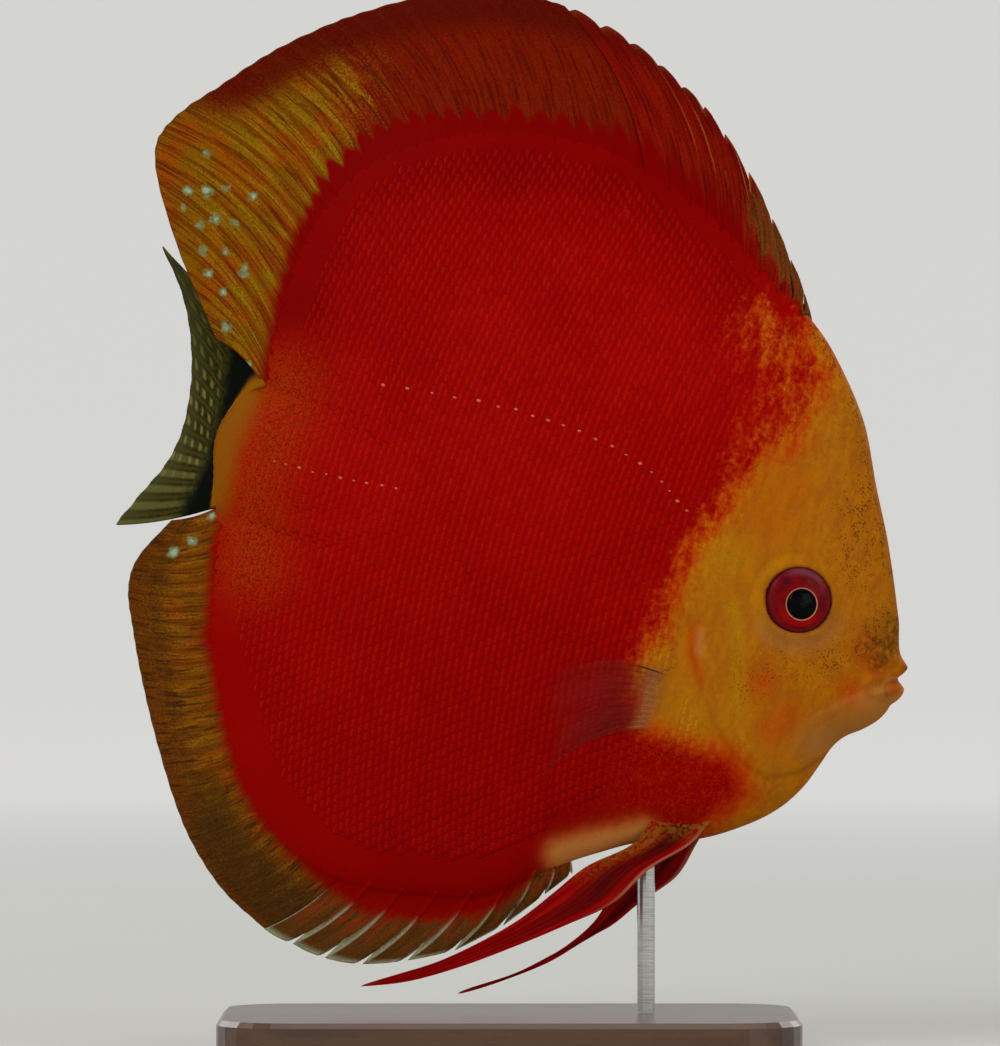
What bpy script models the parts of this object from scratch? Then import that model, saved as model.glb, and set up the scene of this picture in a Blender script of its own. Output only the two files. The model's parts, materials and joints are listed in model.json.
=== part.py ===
"""A discus fish as a life-size display model on a plain stand.

Every piece of the fish is shaped in the fish's own frame, in millimetres: a runs forward
along the body from the base of the tail, y to the fish's left, and h up the body. The last
step bends the tail, tips the nose down and sets the fish on its rod, in metres with +Z up.
"""

import math

import bmesh
import bpy
import numpy as np

# Place and pose of the fish
MM = 0.001
PITCH = math.radians(17.0)
TAIL_X, TAIL_Z = -52.67, 115.2
BEND_START = 30.0
BEND_RATE = 0.0037
BEND_EASE_FROM, BEND_EASE = 32.0, 6.0
GAP = 0.3

# Outline of the flesh seen from the side, from the upper lip over the back
CENTRE = np.array([62.0, 3.0])
HEAD_TOP = [(134.9, -2.1), (133.5, -0.9), (132.5, 0.4), (131.7, 2.6), (130.8, 5.6), (129.6, 8.3),
            (127.3, 13.4), (123.8, 20.6), (119.1, 29.1), (113.2, 40.2), (105.0, 49.9), (98.3, 55.5)]
BACK = [(88.2, 61.4), (80.9, 65.9), (72.7, 69.6), (64.0, 72.9), (53.6, 75.3), (43.3, 75.4),
        (33.0, 73.5), (23.5, 70.0), (14.6, 65.0), (7.8, 58.5), (3.4, 50.5), (1.2, 41.0), (0.6, 30.0),
        (0.9, 20.9), (1.6, 14.0)]
TAIL_BASE = [(-0.3, 11.6), (-2.8, 5.5), (-3.2, 0.5), (-1.6, -5.5), (0.0, -10.8)]
BELLY = [(1.2, -14.2), (2.4, -19.8), (4.0, -27.4), (6.4, -36.0), (9.8, -43.2), (14.2, -51.4),
         (19.8, -59.4), (25.9, -65.4), (33.0, -69.8), (41.5, -72.2), (50.5, -72.0), (62.0, -70.0),
         (70.0, -67.4), (76.5, -62.6), (83.3, -57.0), (88.7, -53.2), (96.0, -48.8), (106.7, -44.8)]
THROAT = [(114.6, -39.5), (119.5, -34.7), (122.6, -29.6), (124.4, -24.5), (125.6, -20.8),
          (127.4, -18.1), (130.0, -16.0), (132.2, -13.7), (133.4, -11.6), (133.9, -9.9), (134.8, -8.8),
          (135.5, -7.2), (135.1, -5.7), (133.5, -4.9), (134.3, -3.7)]

# Half thickness of the body along its length, and how it falls away towards its rim
WIDTH_AT = [-4.0, 0.0, 20.0, 50.0, 80.0, 95.0, 110.0, 120.0, 130.0, 136.0]
HALF_WIDTH = [2.4, 3.0, 7.2, 10.8, 12.8, 13.2, 12.4, 11.2, 9.6, 8.4]
TRUNK_FALL, HEAD_FALL = (2.2, 0.75), (3.8, 0.58)
CORE_BLUR = 50.0
RIM_HALF = 0.25
FIN_RIM_HALF = 1.3
STALK_HALF, STALK_GROWTH, STALK_REACH = 3.4, 0.1, 12.6
FIN_RIMS = [(53.0, 173.0), (192.0, 291.0)]

# Mesh of the body: bearings are finer over the head
HEAD_BEARING, HEAD_STEP, TRUNK_STEP = 52.0, 2.6, 5.0
MOUTH_BEARINGS, MOUTH_STEP = (-13.0, 7.8), 1.3
RINGS = 12

# Head
EYE_AT, EYE_RADIUS, EYE_DEPTH, EYE_SINK = (111.0, 4.0), 7.1, 2.9, 1.2
NOSTRIL_AT, NOSTRIL_RADIUS = (121.6, 8.2), 0.8
MOUTH_FRONT, MOUTH_CORNER = (136.0, -3.9), (130.0, -7.3)
MOUTH_OPEN, MOUTH_REACH = 0.3, 9.0
LIP_RISE, LIP_APART, LIP_WIDTH = 0.8, 1.5, 1.0
GILL_LINE = [(100.5, 62.0), (95.0, 40.0), (91.6, 25.0), (90.7, 14.0), (90.7, 4.0), (91.6, -4.0),
             (93.4, -9.6), (96.6, -14.6), (100.0, -19.6), (104.0, -24.2), (109.6, -28.4),
             (115.2, -29.6), (120.2, -27.0), (124.2, -22.6), (131.0, -21.5)]
COVER_FRONT = [(99.6, 13.0), (100.2, 4.0), (101.0, -2.0), (102.8, -8.0), (104.4, -13.6),
               (107.0, -19.4), (110.8, -24.0), (115.2, -26.0), (119.0, -25.4)]
COVER_REAR = GILL_LINE[3:12]
COVER_DEPTH, COVER_LIFT, COVER_EDGE_GAP = 1.0, (0.15, 0.55), 0.2

# Tail stalk, parted from the trunk
STALK_LINE = [(-9.0, 12.7), (1.6, 12.7), (6.2, 9.6), (8.0, 0.4), (6.2, -9.2), (1.2, -12.4), (-9.0, -12.4)]

# Fins: the bearing of each spine's or ray's root, and its tip
DORSAL_SPINES = [(56.6, (98.4, 57.6)), (59.0, (96.1, 59.2)), (61.6, (91.6, 65.1)), (65.0, (86.2, 70.5)),
                 (69.6, (79.5, 78.1)), (74.0, (71.4, 85.0)), (77.2, (67.2, 88.3)), (80.0, (60.7, 91.4)),
                 (82.6, (55.0, 94.3)), (85.6, (48.6, 96.6)), (89.2, (42.4, 97.8)), (92.8, (35.6, 99.1))]
DORSAL_NOTCH = 0.88
DORSAL_RAYS = [(92.8, (35.6, 99.1)), (98.4, (31.0, 99.0)), (103.8, (26.2, 98.2)), (110.0, (17.5, 96.4)),
               (116.3, (7.8, 92.1)), (121.0, (-0.4, 87.0)), (125.4, (-6.2, 82.8)), (130.0, (-13.2, 76.6)),
               (135.0, (-18.0, 71.4)), (140.3, (-22.8, 65.4)), (143.8, (-27.4, 60.0)),
               (147.0, (-30.4, 54.8)), (150.5, (-30.9, 50.2)), (156.5, (-27.9, 43.4)),
               (163.7, (-20.8, 33.0)), (167.9, (-15.0, 26.1)), (170.6, (-9.4, 19.4))]
ANAL_RAYS = [(194.6, (-7.3, -18.4)), (200.4, (-11.3, -25.0)), (207.7, (-11.3, -31.4)),
             (214.5, (-8.2, -38.4)), (220.5, (-4.2, -46.2)), (227.9, (1.4, -55.8)),
             (236.1, (8.8, -66.9)), (242.1, (15.0, -74.3)), (248.4, (23.0, -80.8)), (256.0, (32.5, -85.4))]
ANAL_SPINES = [(290.6, (85.4, -58.2)), (288.2, (81.6, -63.4)), (284.8, (75.8, -71.4)),
               (280.5, (68.4, -78.6)), (275.2, (60.4, -83.1)), (270.0, (52.4, -86.3)),
               (265.0, (45.2, -87.3)), (260.4, (38.6, -86.5)), (256.0, (32.5, -85.4))]
ANAL_NOTCH = 0.3
DORSAL_BOW, ANAL_BOW = -0.08, 0.06
CAUDAL_BEARINGS = (172.6, 191.4)
ROOT_SUNK = 1.5
DORSAL_RAY_COUNT, ANAL_RAY_COUNT, CAUDAL_RAY_COUNT, PECTORAL_RAY_COUNT = 30, 27, 14, 10
PELVIC_RAY_COUNT = 5
FIN_ROWS, CAUDAL_ROWS, PELVIC_ROWS = 4, 5, 12
MEMBRANE_HALF, RAY_RIDGE, RIDGE_REACH, SPINE_RIDGE = 0.28, 0.3, 0.27, 0.45
FIN_FOOT, CAUDAL_FOOT, SCALLOP, CAUDAL_SCALLOP = 0.75, 1.5, 0.35, 0.02
SPINE_STEPS = (0.0, 0.1, 0.4, 0.75)
CAUDAL_TIPS = [(-24.9, 9.0, 33.5), (-19.5, 12.0, 27.3), (-15.7, 15.5, 20.9), (-12.9, 18.0, 13.5),
               (-11.5, 19.5, 7.0), (-11.0, 20.0, 0.2), (-12.1, 20.0, -6.5), (-14.9, 19.0, -13.1),
               (-18.0, 17.0, -20.6)]
PECTORAL_BOW, PECTORAL_FLARE = -0.11, 7.4
PELVIC_APART, PELVIC_FLARE = 3.5, 4.0
PECTORAL_ROOT = [(90.4, -17.0), (90.8, -22.0), (91.0, -27.0)]
PECTORAL_TIPS = [(71.6, -21.8), (70.9, -25.0), (72.4, -29.2), (74.6, -33.4), (75.4, -37.6), (74.2, -41.8)]
PELVIC_RIGHT_LOWER = [(107.5, -41.0), (105.0, -46.3), (98.9, -53.1), (94.5, -60.8), (87.5, -67.2),
                      (78.8, -74.4), (70.2, -81.0), (62.0, -86.3), (53.5, -90.4)]
PELVIC_RIGHT_UPPER = [(97.5, -42.0), (94.6, -49.4), (87.5, -56.0), (82.7, -62.9), (78.2, -69.2),
                      (72.6, -75.2), (66.2, -81.0), (60.0, -85.3), (53.0, -89.6)]
PELVIC_LEFT_LOWER = [(107.5, -41.0), (106.4, -46.0), (104.6, -53.0), (99.4, -59.7), (95.8, -65.3),
                     (91.2, -70.5), (86.0, -76.2), (79.2, -81.7), (71.7, -87.2)]
PELVIC_LEFT_UPPER = [(97.5, -42.0), (96.0, -49.0), (94.2, -57.0), (92.5, -65.3), (89.0, -71.4),
                     (85.2, -75.6), (81.0, -79.6), (76.6, -82.8), (71.0, -86.4)]

# Stand
BASE_SIZE, BASE_CORNER, BASE_EDGE = (110.0, 70.0, 8.0), 14.0, 1.0
ROD_X, ROD_RADIUS, ROD_TOP = 26.0, 1.7, 52.0


def smooth_step(value):
    value = np.clip(value, 0.0, 1.0)
    return value * value * (3.0 - 2.0 * value)


def spline(points, count, closed=False):
    """Evenly numbered points along a smooth curve through the given points."""
    points = np.array(points, float)
    size = len(points)
    place = np.linspace(0.0, size if closed else size - 1, count, endpoint=not closed)
    start = np.minimum(place.astype(int), size if closed else size - 2)
    t = (place - start)[:, None]
    if closed:
        before, first, second, after = (points[(start + k) % size] for k in (-1, 0, 1, 2))
    else:
        long = np.vstack([2 * points[0] - points[1], points, 2 * points[-1] - points[-2]])
        before, first, second, after = (long[start + k] for k in (0, 1, 2, 3))
    return 0.5 * (2 * first + (second - before) * t
                  + (2 * before - 5 * first + 4 * second - after) * t**2
                  + (3 * first - before - 3 * second + after) * t**3)


def outline_table():
    """Distance from the centre to the outline, for bearings all the way round."""
    curve = spline(HEAD_TOP + BACK + TAIL_BASE + BELLY + THROAT, 1200, closed=True) - CENTRE
    bearing = np.degrees(np.arctan2(curve[:, 1], curve[:, 0])) % 360.0
    order = np.argsort(bearing)
    radius = np.hypot(curve[:, 0], curve[:, 1])[order]
    even = np.arange(0.0, 360.0, 0.5)
    radius = np.interp(even, bearing[order], radius, period=360.0)
    window = int(2 * CORE_BLUR)
    doubled = np.concatenate([radius[-window:], radius, radius[:window]])
    core = np.convolve(doubled, np.hanning(2 * window + 1) / window, "valid")
    return even, radius, core


TABLE_BEARING, TABLE_RADIUS, TABLE_CORE = outline_table()


def outline_radius(bearing):
    return np.interp(bearing % 360.0, TABLE_BEARING, TABLE_RADIUS, period=360.0)


def share_of_radius(a, h):
    """How far a place lies from the centre to the outline, with the outline's corners eased inside."""
    bearing = np.degrees(np.arctan2(h - CENTRE[1], a - CENTRE[0])) % 360.0
    distance = np.hypot(a - CENTRE[0], h - CENTRE[1])
    radius = outline_radius(bearing)
    core = np.interp(bearing, TABLE_BEARING, TABLE_CORE, period=360.0)
    eased = core + (radius - core) * smooth_step(distance / radius)
    return np.clip(distance / eased, 0.0, 1.0)


def outline_point(bearing, out=0.0):
    radius = outline_radius(bearing) + out
    turn = np.radians(bearing)
    return CENTRE + radius * np.array([np.cos(turn), np.sin(turn)])


def rim_point(bearing, out):
    """A point off the faceted rim of the body's mesh, which runs straight between its bearings."""
    stops = np.append(body_bearings(), 360.0 - HEAD_BEARING)
    bearing = (bearing + HEAD_BEARING) % 360.0 - HEAD_BEARING
    after = np.searchsorted(stops, bearing, side="right")
    low, high = stops[after - 1], stops[after]
    share = (bearing - low) / (high - low)
    return outline_point(low, out) * (1.0 - share) + outline_point(high, out) * share


def rim_half(bearing):
    """The rim is thick where a fin grows from it."""
    bearing = bearing % 360.0
    on_fin = sum(smooth_step((bearing - low) / 6.0) * smooth_step((high - bearing) / 6.0)
                 for low, high in FIN_RIMS)
    return RIM_HALF + (FIN_RIM_HALF - RIM_HALF) * on_fin


def lip_rise(a, h):
    """The rolls of the two lips, one on either side of the line of the mouth."""
    start, end = np.array(MOUTH_FRONT), np.array(MOUTH_CORNER)
    run = end - start
    along = np.clip(((a - start[0]) * run[0] + (h - start[1]) * run[1]) / (run @ run), 0.0, 1.0)
    apart = np.hypot(a - start[0] - along * run[0], h - start[1] - along * run[1])
    return LIP_RISE * np.exp(-((apart - LIP_APART) / LIP_WIDTH) ** 2)


def half_thickness(a, h):
    """Half of the body's thickness at a place seen from the side."""
    a, h = np.asarray(a, float), np.asarray(h, float)
    bearing = np.degrees(np.arctan2(h - CENTRE[1], a - CENTRE[0]))
    share = share_of_radius(a, h)
    head = smooth_step((a - 85.0) / 30.0)
    power = TRUNK_FALL[0] + (HEAD_FALL[0] - TRUNK_FALL[0]) * head
    ease = TRUNK_FALL[1] + (HEAD_FALL[1] - TRUNK_FALL[1]) * head
    lens = (1.0 - share**power) ** ease
    trunk = np.interp(a, WIDTH_AT, HALF_WIDTH) * lens + rim_half(bearing) * share**3
    round_off = np.sqrt(np.clip(1.0 - (h / STALK_REACH) ** 2, 0.0, 1.0))
    stalk = (STALK_HALF + STALK_GROWTH * a) * round_off * (1.0 - smooth_step((a - 10.0) / 25.0))
    return np.sqrt(trunk**2 + stalk**2) + lip_rise(a, h)


def new_object(name, points, faces):
    """A closed mesh in the fish's frame, with its faces pointing out."""
    mesh = bpy.data.meshes.new(name)
    mesh.from_pydata([tuple(map(float, p)) for p in points], [], [tuple(f) for f in faces])
    tool = bmesh.new()
    tool.from_mesh(mesh)
    bmesh.ops.recalc_face_normals(tool, faces=tool.faces)
    tool.to_mesh(mesh)
    tool.free()
    obj = bpy.data.objects.new(name, mesh)
    bpy.context.scene.collection.objects.link(obj)
    return obj


def remove(*objects):
    for obj in objects:
        bpy.data.objects.remove(obj)


def keep_largest(obj):
    """Drops every surface but the largest."""
    tool = bmesh.new()
    tool.from_mesh(obj.data)
    left, bodies = set(tool.verts), []
    while left:
        body, edge = set(), [left.pop()]
        while edge:
            vertex = edge.pop()
            body.add(vertex)
            found = {link.other_vert(vertex) for link in vertex.link_edges} & left
            left -= found
            edge.extend(found)
        bodies.append(body)
    largest = max(bodies, key=len)
    bmesh.ops.delete(tool, geom=[v for v in tool.verts if v not in largest], context="VERTS")
    tool.to_mesh(obj.data)
    tool.free()


def combine(obj, helper, operation):
    """Applies one Boolean and keeps its largest closed surface."""
    modifier = obj.modifiers.new("Boolean", "BOOLEAN")
    modifier.operation = operation
    modifier.object = helper
    graph = bpy.context.evaluated_depsgraph_get()
    shaped = bpy.data.meshes.new_from_object(obj.evaluated_get(graph))
    obj.modifiers.clear()
    obj.data = shaped
    keep_largest(obj)
    return obj


def body_bearings():
    """Where the body's rings have their points: closest round the mouth, then over the head."""
    below = np.arange(-HEAD_BEARING, MOUTH_BEARINGS[0], HEAD_STEP)
    mouth = np.arange(*MOUTH_BEARINGS, MOUTH_STEP)
    above = np.arange(MOUTH_BEARINGS[1], HEAD_BEARING, HEAD_STEP)
    trunk = np.arange(HEAD_BEARING, 360.0 - HEAD_BEARING, TRUNK_STEP)
    return np.concatenate([below, mouth, above, trunk])


def body_solid(name, grow=0.0):
    """The whole body in rings on both sides, grown all round by a small amount."""
    bearings = body_bearings()
    shares = np.sin(0.5 * math.pi * np.arange(1, RINGS + 1) / RINGS) ** 0.9
    count = len(bearings)
    turn = np.radians(bearings)
    points, faces = [], []
    for side in (-1.0, 1.0):
        first = len(points)
        points.append((*CENTRE[:1], side * (half_thickness(*CENTRE) + grow), CENTRE[1]))
        for share in shares:
            radius = outline_radius(bearings)
            a = CENTRE[0] + radius * share * np.cos(turn)
            h = CENTRE[1] + radius * share * np.sin(turn)
            y = side * (half_thickness(a, h) + grow)
            out = grow * share
            points += list(zip(a + out * np.cos(turn), y, h + out * np.sin(turn)))
        for i in range(count):
            j = (i + 1) % count
            faces.append((first, first + 1 + i, first + 1 + j))
            for ring in range(RINGS - 1):
                inner = first + 1 + ring * count
                outer = inner + count
                faces += [(inner + i, outer + i, outer + j), (inner + i, outer + j, inner + j)]
    right_rim = 1 + (RINGS - 1) * count
    left_rim = right_rim + 1 + RINGS * count
    for i in range(count):
        j = (i + 1) % count
        faces.append((right_rim + i, right_rim + j, left_rim + j, left_rim + i))
    return new_object(name, points, faces)


def prism(name, outline, reach):
    """A side-view outline carried across the body from one side to the other."""
    count = len(outline)
    points = [(a, side * reach, h) for side in (-1.0, 1.0) for a, h in outline]
    faces = [tuple(range(count)), tuple(range(2 * count - 1, count - 1, -1))]
    faces += [(i, (i + 1) % count, (i + 1) % count + count, i + count) for i in range(count)]
    return new_object(name, points, faces)


def shifted(line, distance):
    """The line moved to its left by a distance."""
    line = np.array(line, float)
    along = np.gradient(line, axis=0)
    along /= np.linalg.norm(along, axis=1)[:, None]
    return line + distance * np.column_stack([-along[:, 1], along[:, 0]])


def head_region(distance):
    """What lies ahead of the gill line, moved back by a distance."""
    line = shifted(spline(GILL_LINE, 40), -distance)
    return [tuple(p) for p in line] + [(160.0, -21.5), (160.0, 62.0)]


def stalk_region(distance):
    return [tuple(p) for p in shifted(spline(STALK_LINE, 19), distance)]


def cover_solid(name, side, depth, lift, spread):
    """A gill cover: a shell between the cheek and the gill opening."""
    rows, columns = 17, 5
    front = shifted(spline(COVER_FRONT, rows), spread)
    rear = shifted(spline(COVER_REAR, rows), COVER_EDGE_GAP - 4.0 * spread)
    share = np.linspace(0.0, 1.0, columns)[None, :, None]
    flat = front[:, None] * (1.0 - share) + rear[:, None] * share
    ends = np.gradient(flat, axis=0)
    flat[0] -= spread * ends[0] / np.linalg.norm(ends[0], axis=1)[:, None]
    flat[-1] += spread * ends[-1] / np.linalg.norm(ends[-1], axis=1)[:, None]
    surface = half_thickness(flat[..., 0], flat[..., 1])
    rise = lift[0] + (lift[1] - lift[0]) * smooth_step(share[0, :, 0])
    outer = np.dstack([flat[..., 0], side * (surface + rise[None, :]), flat[..., 1]])
    inner = np.dstack([flat[..., 0], side * (surface - depth), flat[..., 1]])
    return slab(name, outer, inner)


def slab(name, outer, inner):
    """A closed sheet between two grids of points, split alike on both faces."""
    rows, columns = outer.shape[:2]
    size = rows * columns
    number = np.arange(size).reshape(rows, columns)
    faces = []
    for i in range(rows - 1):
        for j in range(columns - 1):
            p, q = number[i, j], number[i + 1, j]
            r, s = number[i + 1, j + 1], number[i, j + 1]
            faces += [(p, q, r), (p, r, s)]
            faces += [(p + size, r + size, q + size), (p + size, s + size, r + size)]
    rim = np.concatenate([number[:, 0], number[-1, 1:], number[-2::-1, -1], number[0, -2:0:-1]])
    for p, q in zip(rim, np.roll(rim, -1)):
        faces += [(p, q, q + size), (p, q + size, p + size)]
    return new_object(name, np.vstack([outer.reshape(-1, 3), inner.reshape(-1, 3)]), faces)


def sheet(name, middle, half):
    """A thin fin: a grid of points thickened to both sides along its own normals."""
    across = np.gradient(middle, axis=0)
    along = np.gradient(middle, axis=1)
    normal = np.cross(across, along)
    normal /= np.linalg.norm(normal, axis=2)[..., None]
    return slab(name, middle + normal * half[..., None], middle - normal * half[..., None])


def surface_frame(a, h, side):
    """A point on the body's surface, and the direction out of it."""
    step = 0.5
    slope_a = (half_thickness(a + step, h) - half_thickness(a - step, h)) / (2 * step)
    slope_h = (half_thickness(a, h + step) - half_thickness(a, h - step)) / (2 * step)
    out = np.array([-slope_a, side, -slope_h])
    return np.array([a, side * half_thickness(a, h), h]), out / np.linalg.norm(out)


def dome(name, at, side, radius, depth, sink, around, rings):
    """A flattened ball set in the surface, its short axis pointing out."""
    point, out = surface_frame(*at, side)
    first = np.cross(out, (0.0, 0.0, 1.0))
    first /= np.linalg.norm(first)
    second = np.cross(out, first)
    middle = point - out * sink
    points = [middle + out * depth]
    for ring in range(1, rings):
        fall = math.pi * ring / rings
        for k in range(around):
            turn = 2 * math.pi * k / around
            flat = first * math.cos(turn) + second * math.sin(turn)
            points.append(middle + out * depth * math.cos(fall) + flat * radius * math.sin(fall))
    points.append(middle - out * depth)
    faces = []
    for k in range(around):
        n = (k + 1) % around
        faces.append((0, 1 + k, 1 + n))
        for ring in range(rings - 2):
            low = 1 + ring * around
            high = low + around
            faces += [(low + k, high + k, high + n), (low + k, high + n, low + n)]
        faces.append((len(points) - 1, len(points) - 1 - around + n, len(points) - 1 - around + k))
    return new_object(name, points, faces)


def body_nodes():
    """Head, trunk and tail stalk, with sockets, mouth, nostrils and the beds of the gill covers."""
    head = combine(body_solid("head"), prism("cutter", head_region(-GAP / 2), 40.0), "INTERSECT")
    torso = body_solid("torso")
    combine(torso, prism("cutter", head_region(GAP / 2), 40.0), "DIFFERENCE")
    combine(torso, prism("cutter", stalk_region(GAP / 2), 40.0), "DIFFERENCE")
    stalk = combine(body_solid("tail_stalk"), prism("cutter", stalk_region(-GAP / 2), 40.0), "INTERSECT")
    (front_a, front_h), (corner_a, corner_h) = MOUTH_FRONT, MOUTH_CORNER
    mouth = [(front_a, front_h + MOUTH_OPEN), (corner_a, corner_h + MOUTH_OPEN / 2),
             (corner_a, corner_h - MOUTH_OPEN / 2), (front_a, front_h - MOUTH_OPEN)]
    combine(head, prism("cutter", mouth, MOUTH_REACH), "DIFFERENCE")
    for side in (-1.0, 1.0):
        combine(head, dome("cutter", EYE_AT, side, EYE_RADIUS + GAP, EYE_DEPTH + GAP, EYE_SINK, 20, 10),
                "DIFFERENCE")
        combine(head, dome("cutter", NOSTRIL_AT, side, NOSTRIL_RADIUS, NOSTRIL_RADIUS, 0.0, 8, 6),
                "DIFFERENCE")
        combine(head, cover_solid("cutter", side, COVER_DEPTH + GAP, (3.0, 3.0), GAP), "DIFFERENCE")
    for obj in [o for o in bpy.data.objects if o.name.startswith("cutter")]:
        remove(obj)
    return [head, torso, stalk]


def eye_and_cover_nodes():
    nodes = []
    for side, word in ((-1.0, "right"), (1.0, "left")):
        nodes.append(dome("eye_" + word, EYE_AT, side, EYE_RADIUS, EYE_DEPTH, EYE_SINK, 20, 10))
        nodes.append(cover_solid("gill_cover_" + word, side, COVER_DEPTH, COVER_LIFT, 0.0))
    return nodes


def ray_places(rays):
    """Places across a fin: its two sides, and each ray's crest between the two feet of its ridge."""
    step = 1.0 / rays
    middle = (np.arange(rays) + 0.5) * step
    reach = RIDGE_REACH * step
    places = np.sort(np.concatenate([[0.0, 1.0], middle - reach, middle, middle + reach]))
    crests = np.isclose(places[:, None], middle[None, :]).any(axis=1)
    return places, crests


def at_places(points, places):
    """Reads a smooth curve through the points at places from 0 to 1."""
    curve = spline(points, 400)
    even = np.linspace(0.0, 1.0, len(curve))
    return np.column_stack([np.interp(places, even, column) for column in curve.T])


def ridged_half(crests, rows, membrane, ridge, foot, foot_fall):
    """Half thickness over a fin's grid: ridges on the rays, and a thicker foot."""
    share = np.linspace(0.0, 1.0, rows)[None, :]
    rise = crests[:, None] * ridge * (1.0 - 0.75 * share)
    return membrane + rise + foot * (1.0 - share) ** foot_fall


def from_root(roots, tips, rows, bow=0.0):
    """Rays from their roots to their tips on the middle plane, bowed a little to one side."""
    share = np.linspace(0.0, 1.0, rows)[None, :, None]
    flat = roots[:, None] * (1.0 - share) + tips[:, None] * share
    run = tips - roots
    side = np.column_stack([-run[:, 1], run[:, 0]])
    flat = flat + bow * 4.0 * share * (1.0 - share) * side[:, None]
    return np.dstack([flat[..., 0], np.zeros(flat.shape[:2]), flat[..., 1]])


def rayed_fin(name, pairs, rays, bow):
    """The soft part of a median fin, with an edge scalloped between its rays."""
    places, crests = ray_places(rays)
    bearings = at_places([(b, 0.0) for b, tip in pairs], places)[:, 0]
    roots = np.array([rim_point(b, GAP) for b in bearings])
    tips = at_places([tip for b, tip in pairs], places)
    outward = (tips - roots) / np.linalg.norm(tips - roots, axis=1)[:, None]
    tips = tips - outward * SCALLOP * (1.0 - crests)[:, None]
    middle = from_root(roots, tips, FIN_ROWS, bow)
    return sheet(name, middle, ridged_half(crests, FIN_ROWS, MEMBRANE_HALF, RAY_RIDGE, FIN_FOOT, 4))


def spiny_fin(name, pairs, notch, bow):
    """The spines of a median fin: behind each one the membrane is cut in, then swells to the next."""
    bearings, tips, crests = [], [], []
    for (bearing, tip), (next_bearing, next_tip) in zip(pairs[:-1], pairs[1:]):
        tip, next_tip = np.array(tip), np.array(next_tip)
        for share in SPINE_STEPS:
            place = bearing + (next_bearing - bearing) * share
            bearings.append(place)
            crests.append(share == 0.0)
            on_edge = tip + (next_tip - tip) * share
            if share == SPINE_STEPS[1]:
                root = outline_point(place)
                on_edge = root + notch * (on_edge - root)
            tips.append(on_edge)
    bearings.append(pairs[-1][0])
    tips.append(np.array(pairs[-1][1]))
    crests = np.array(crests + [False])
    roots = np.array([rim_point(b, GAP) for b in bearings])
    middle = from_root(roots, np.array(tips), FIN_ROWS, bow)
    return sheet(name, middle, ridged_half(crests, FIN_ROWS, MEMBRANE_HALF, SPINE_RIDGE, FIN_FOOT, 4))


def caudal_fin(body):
    """The tail fin swings to the fish's left, so it is seen foreshortened."""
    places, crests = ray_places(CAUDAL_RAY_COUNT)
    bearings = CAUDAL_BEARINGS[0] + (CAUDAL_BEARINGS[1] - CAUDAL_BEARINGS[0]) * places
    roots = np.array([outline_point(b, -ROOT_SUNK) for b in bearings])
    roots = np.column_stack([roots[:, 0], np.zeros(len(roots)), roots[:, 1]])
    tips = at_places(CAUDAL_TIPS, places)
    tips = tips - (tips - roots) * (1.0 - crests)[:, None] * CAUDAL_SCALLOP
    share = np.linspace(0.0, 1.0, CAUDAL_ROWS)[None, :, None]
    middle = roots[:, None] * (1.0 - share) + tips[:, None] * share
    half = ridged_half(crests, CAUDAL_ROWS, MEMBRANE_HALF, RAY_RIDGE, CAUDAL_FOOT, 6)
    return combine(sheet("fin_caudal", middle, half), body, "DIFFERENCE")


def pectoral_fin(name, side, body):
    """The fin fans back from the flank and stands off it."""
    places, crests = ray_places(PECTORAL_RAY_COUNT)
    roots, tips = at_places(PECTORAL_ROOT, places), at_places(PECTORAL_TIPS, places)
    flat = from_root(roots, tips, FIN_ROWS, PECTORAL_BOW)
    share = np.linspace(0.0, 1.0, FIN_ROWS)[None, :]
    start = half_thickness(roots[:, 0], roots[:, 1])[:, None] - ROOT_SUNK
    flat[..., 1] = side * (start + PECTORAL_FLARE * share)
    half = ridged_half(crests, FIN_ROWS, MEMBRANE_HALF, 0.6 * RAY_RIDGE, 0.5 * FIN_FOOT, 3)
    return combine(sheet(name, flat, half), body, "DIFFERENCE")


def pelvic_fin(name, side, lower, upper, body):
    """A long strap of a fin that hangs from the belly and trails back, stiffest along its front."""
    low, high = spline(lower, PELVIC_ROWS), spline(upper, PELVIC_ROWS)
    places = np.linspace(0.0, 1.0, 2 * PELVIC_RAY_COUNT + 1)
    crests = np.arange(len(places)) % 2 == 1
    crests[0] = True
    flat = low[None] * (1.0 - places)[:, None, None] + high[None] * places[:, None, None]
    along = np.linspace(0.0, 1.0, PELVIC_ROWS)[None, :]
    away = np.repeat(PELVIC_APART + PELVIC_FLARE * smooth_step(along * 1.8), len(places), axis=0)
    middle = np.dstack([flat[..., 0], side * away, flat[..., 1]])
    half = ridged_half(crests, PELVIC_ROWS, MEMBRANE_HALF, RAY_RIDGE, 0.5 * FIN_FOOT, 4)
    return combine(sheet(name, middle, half), body, "DIFFERENCE")


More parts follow.
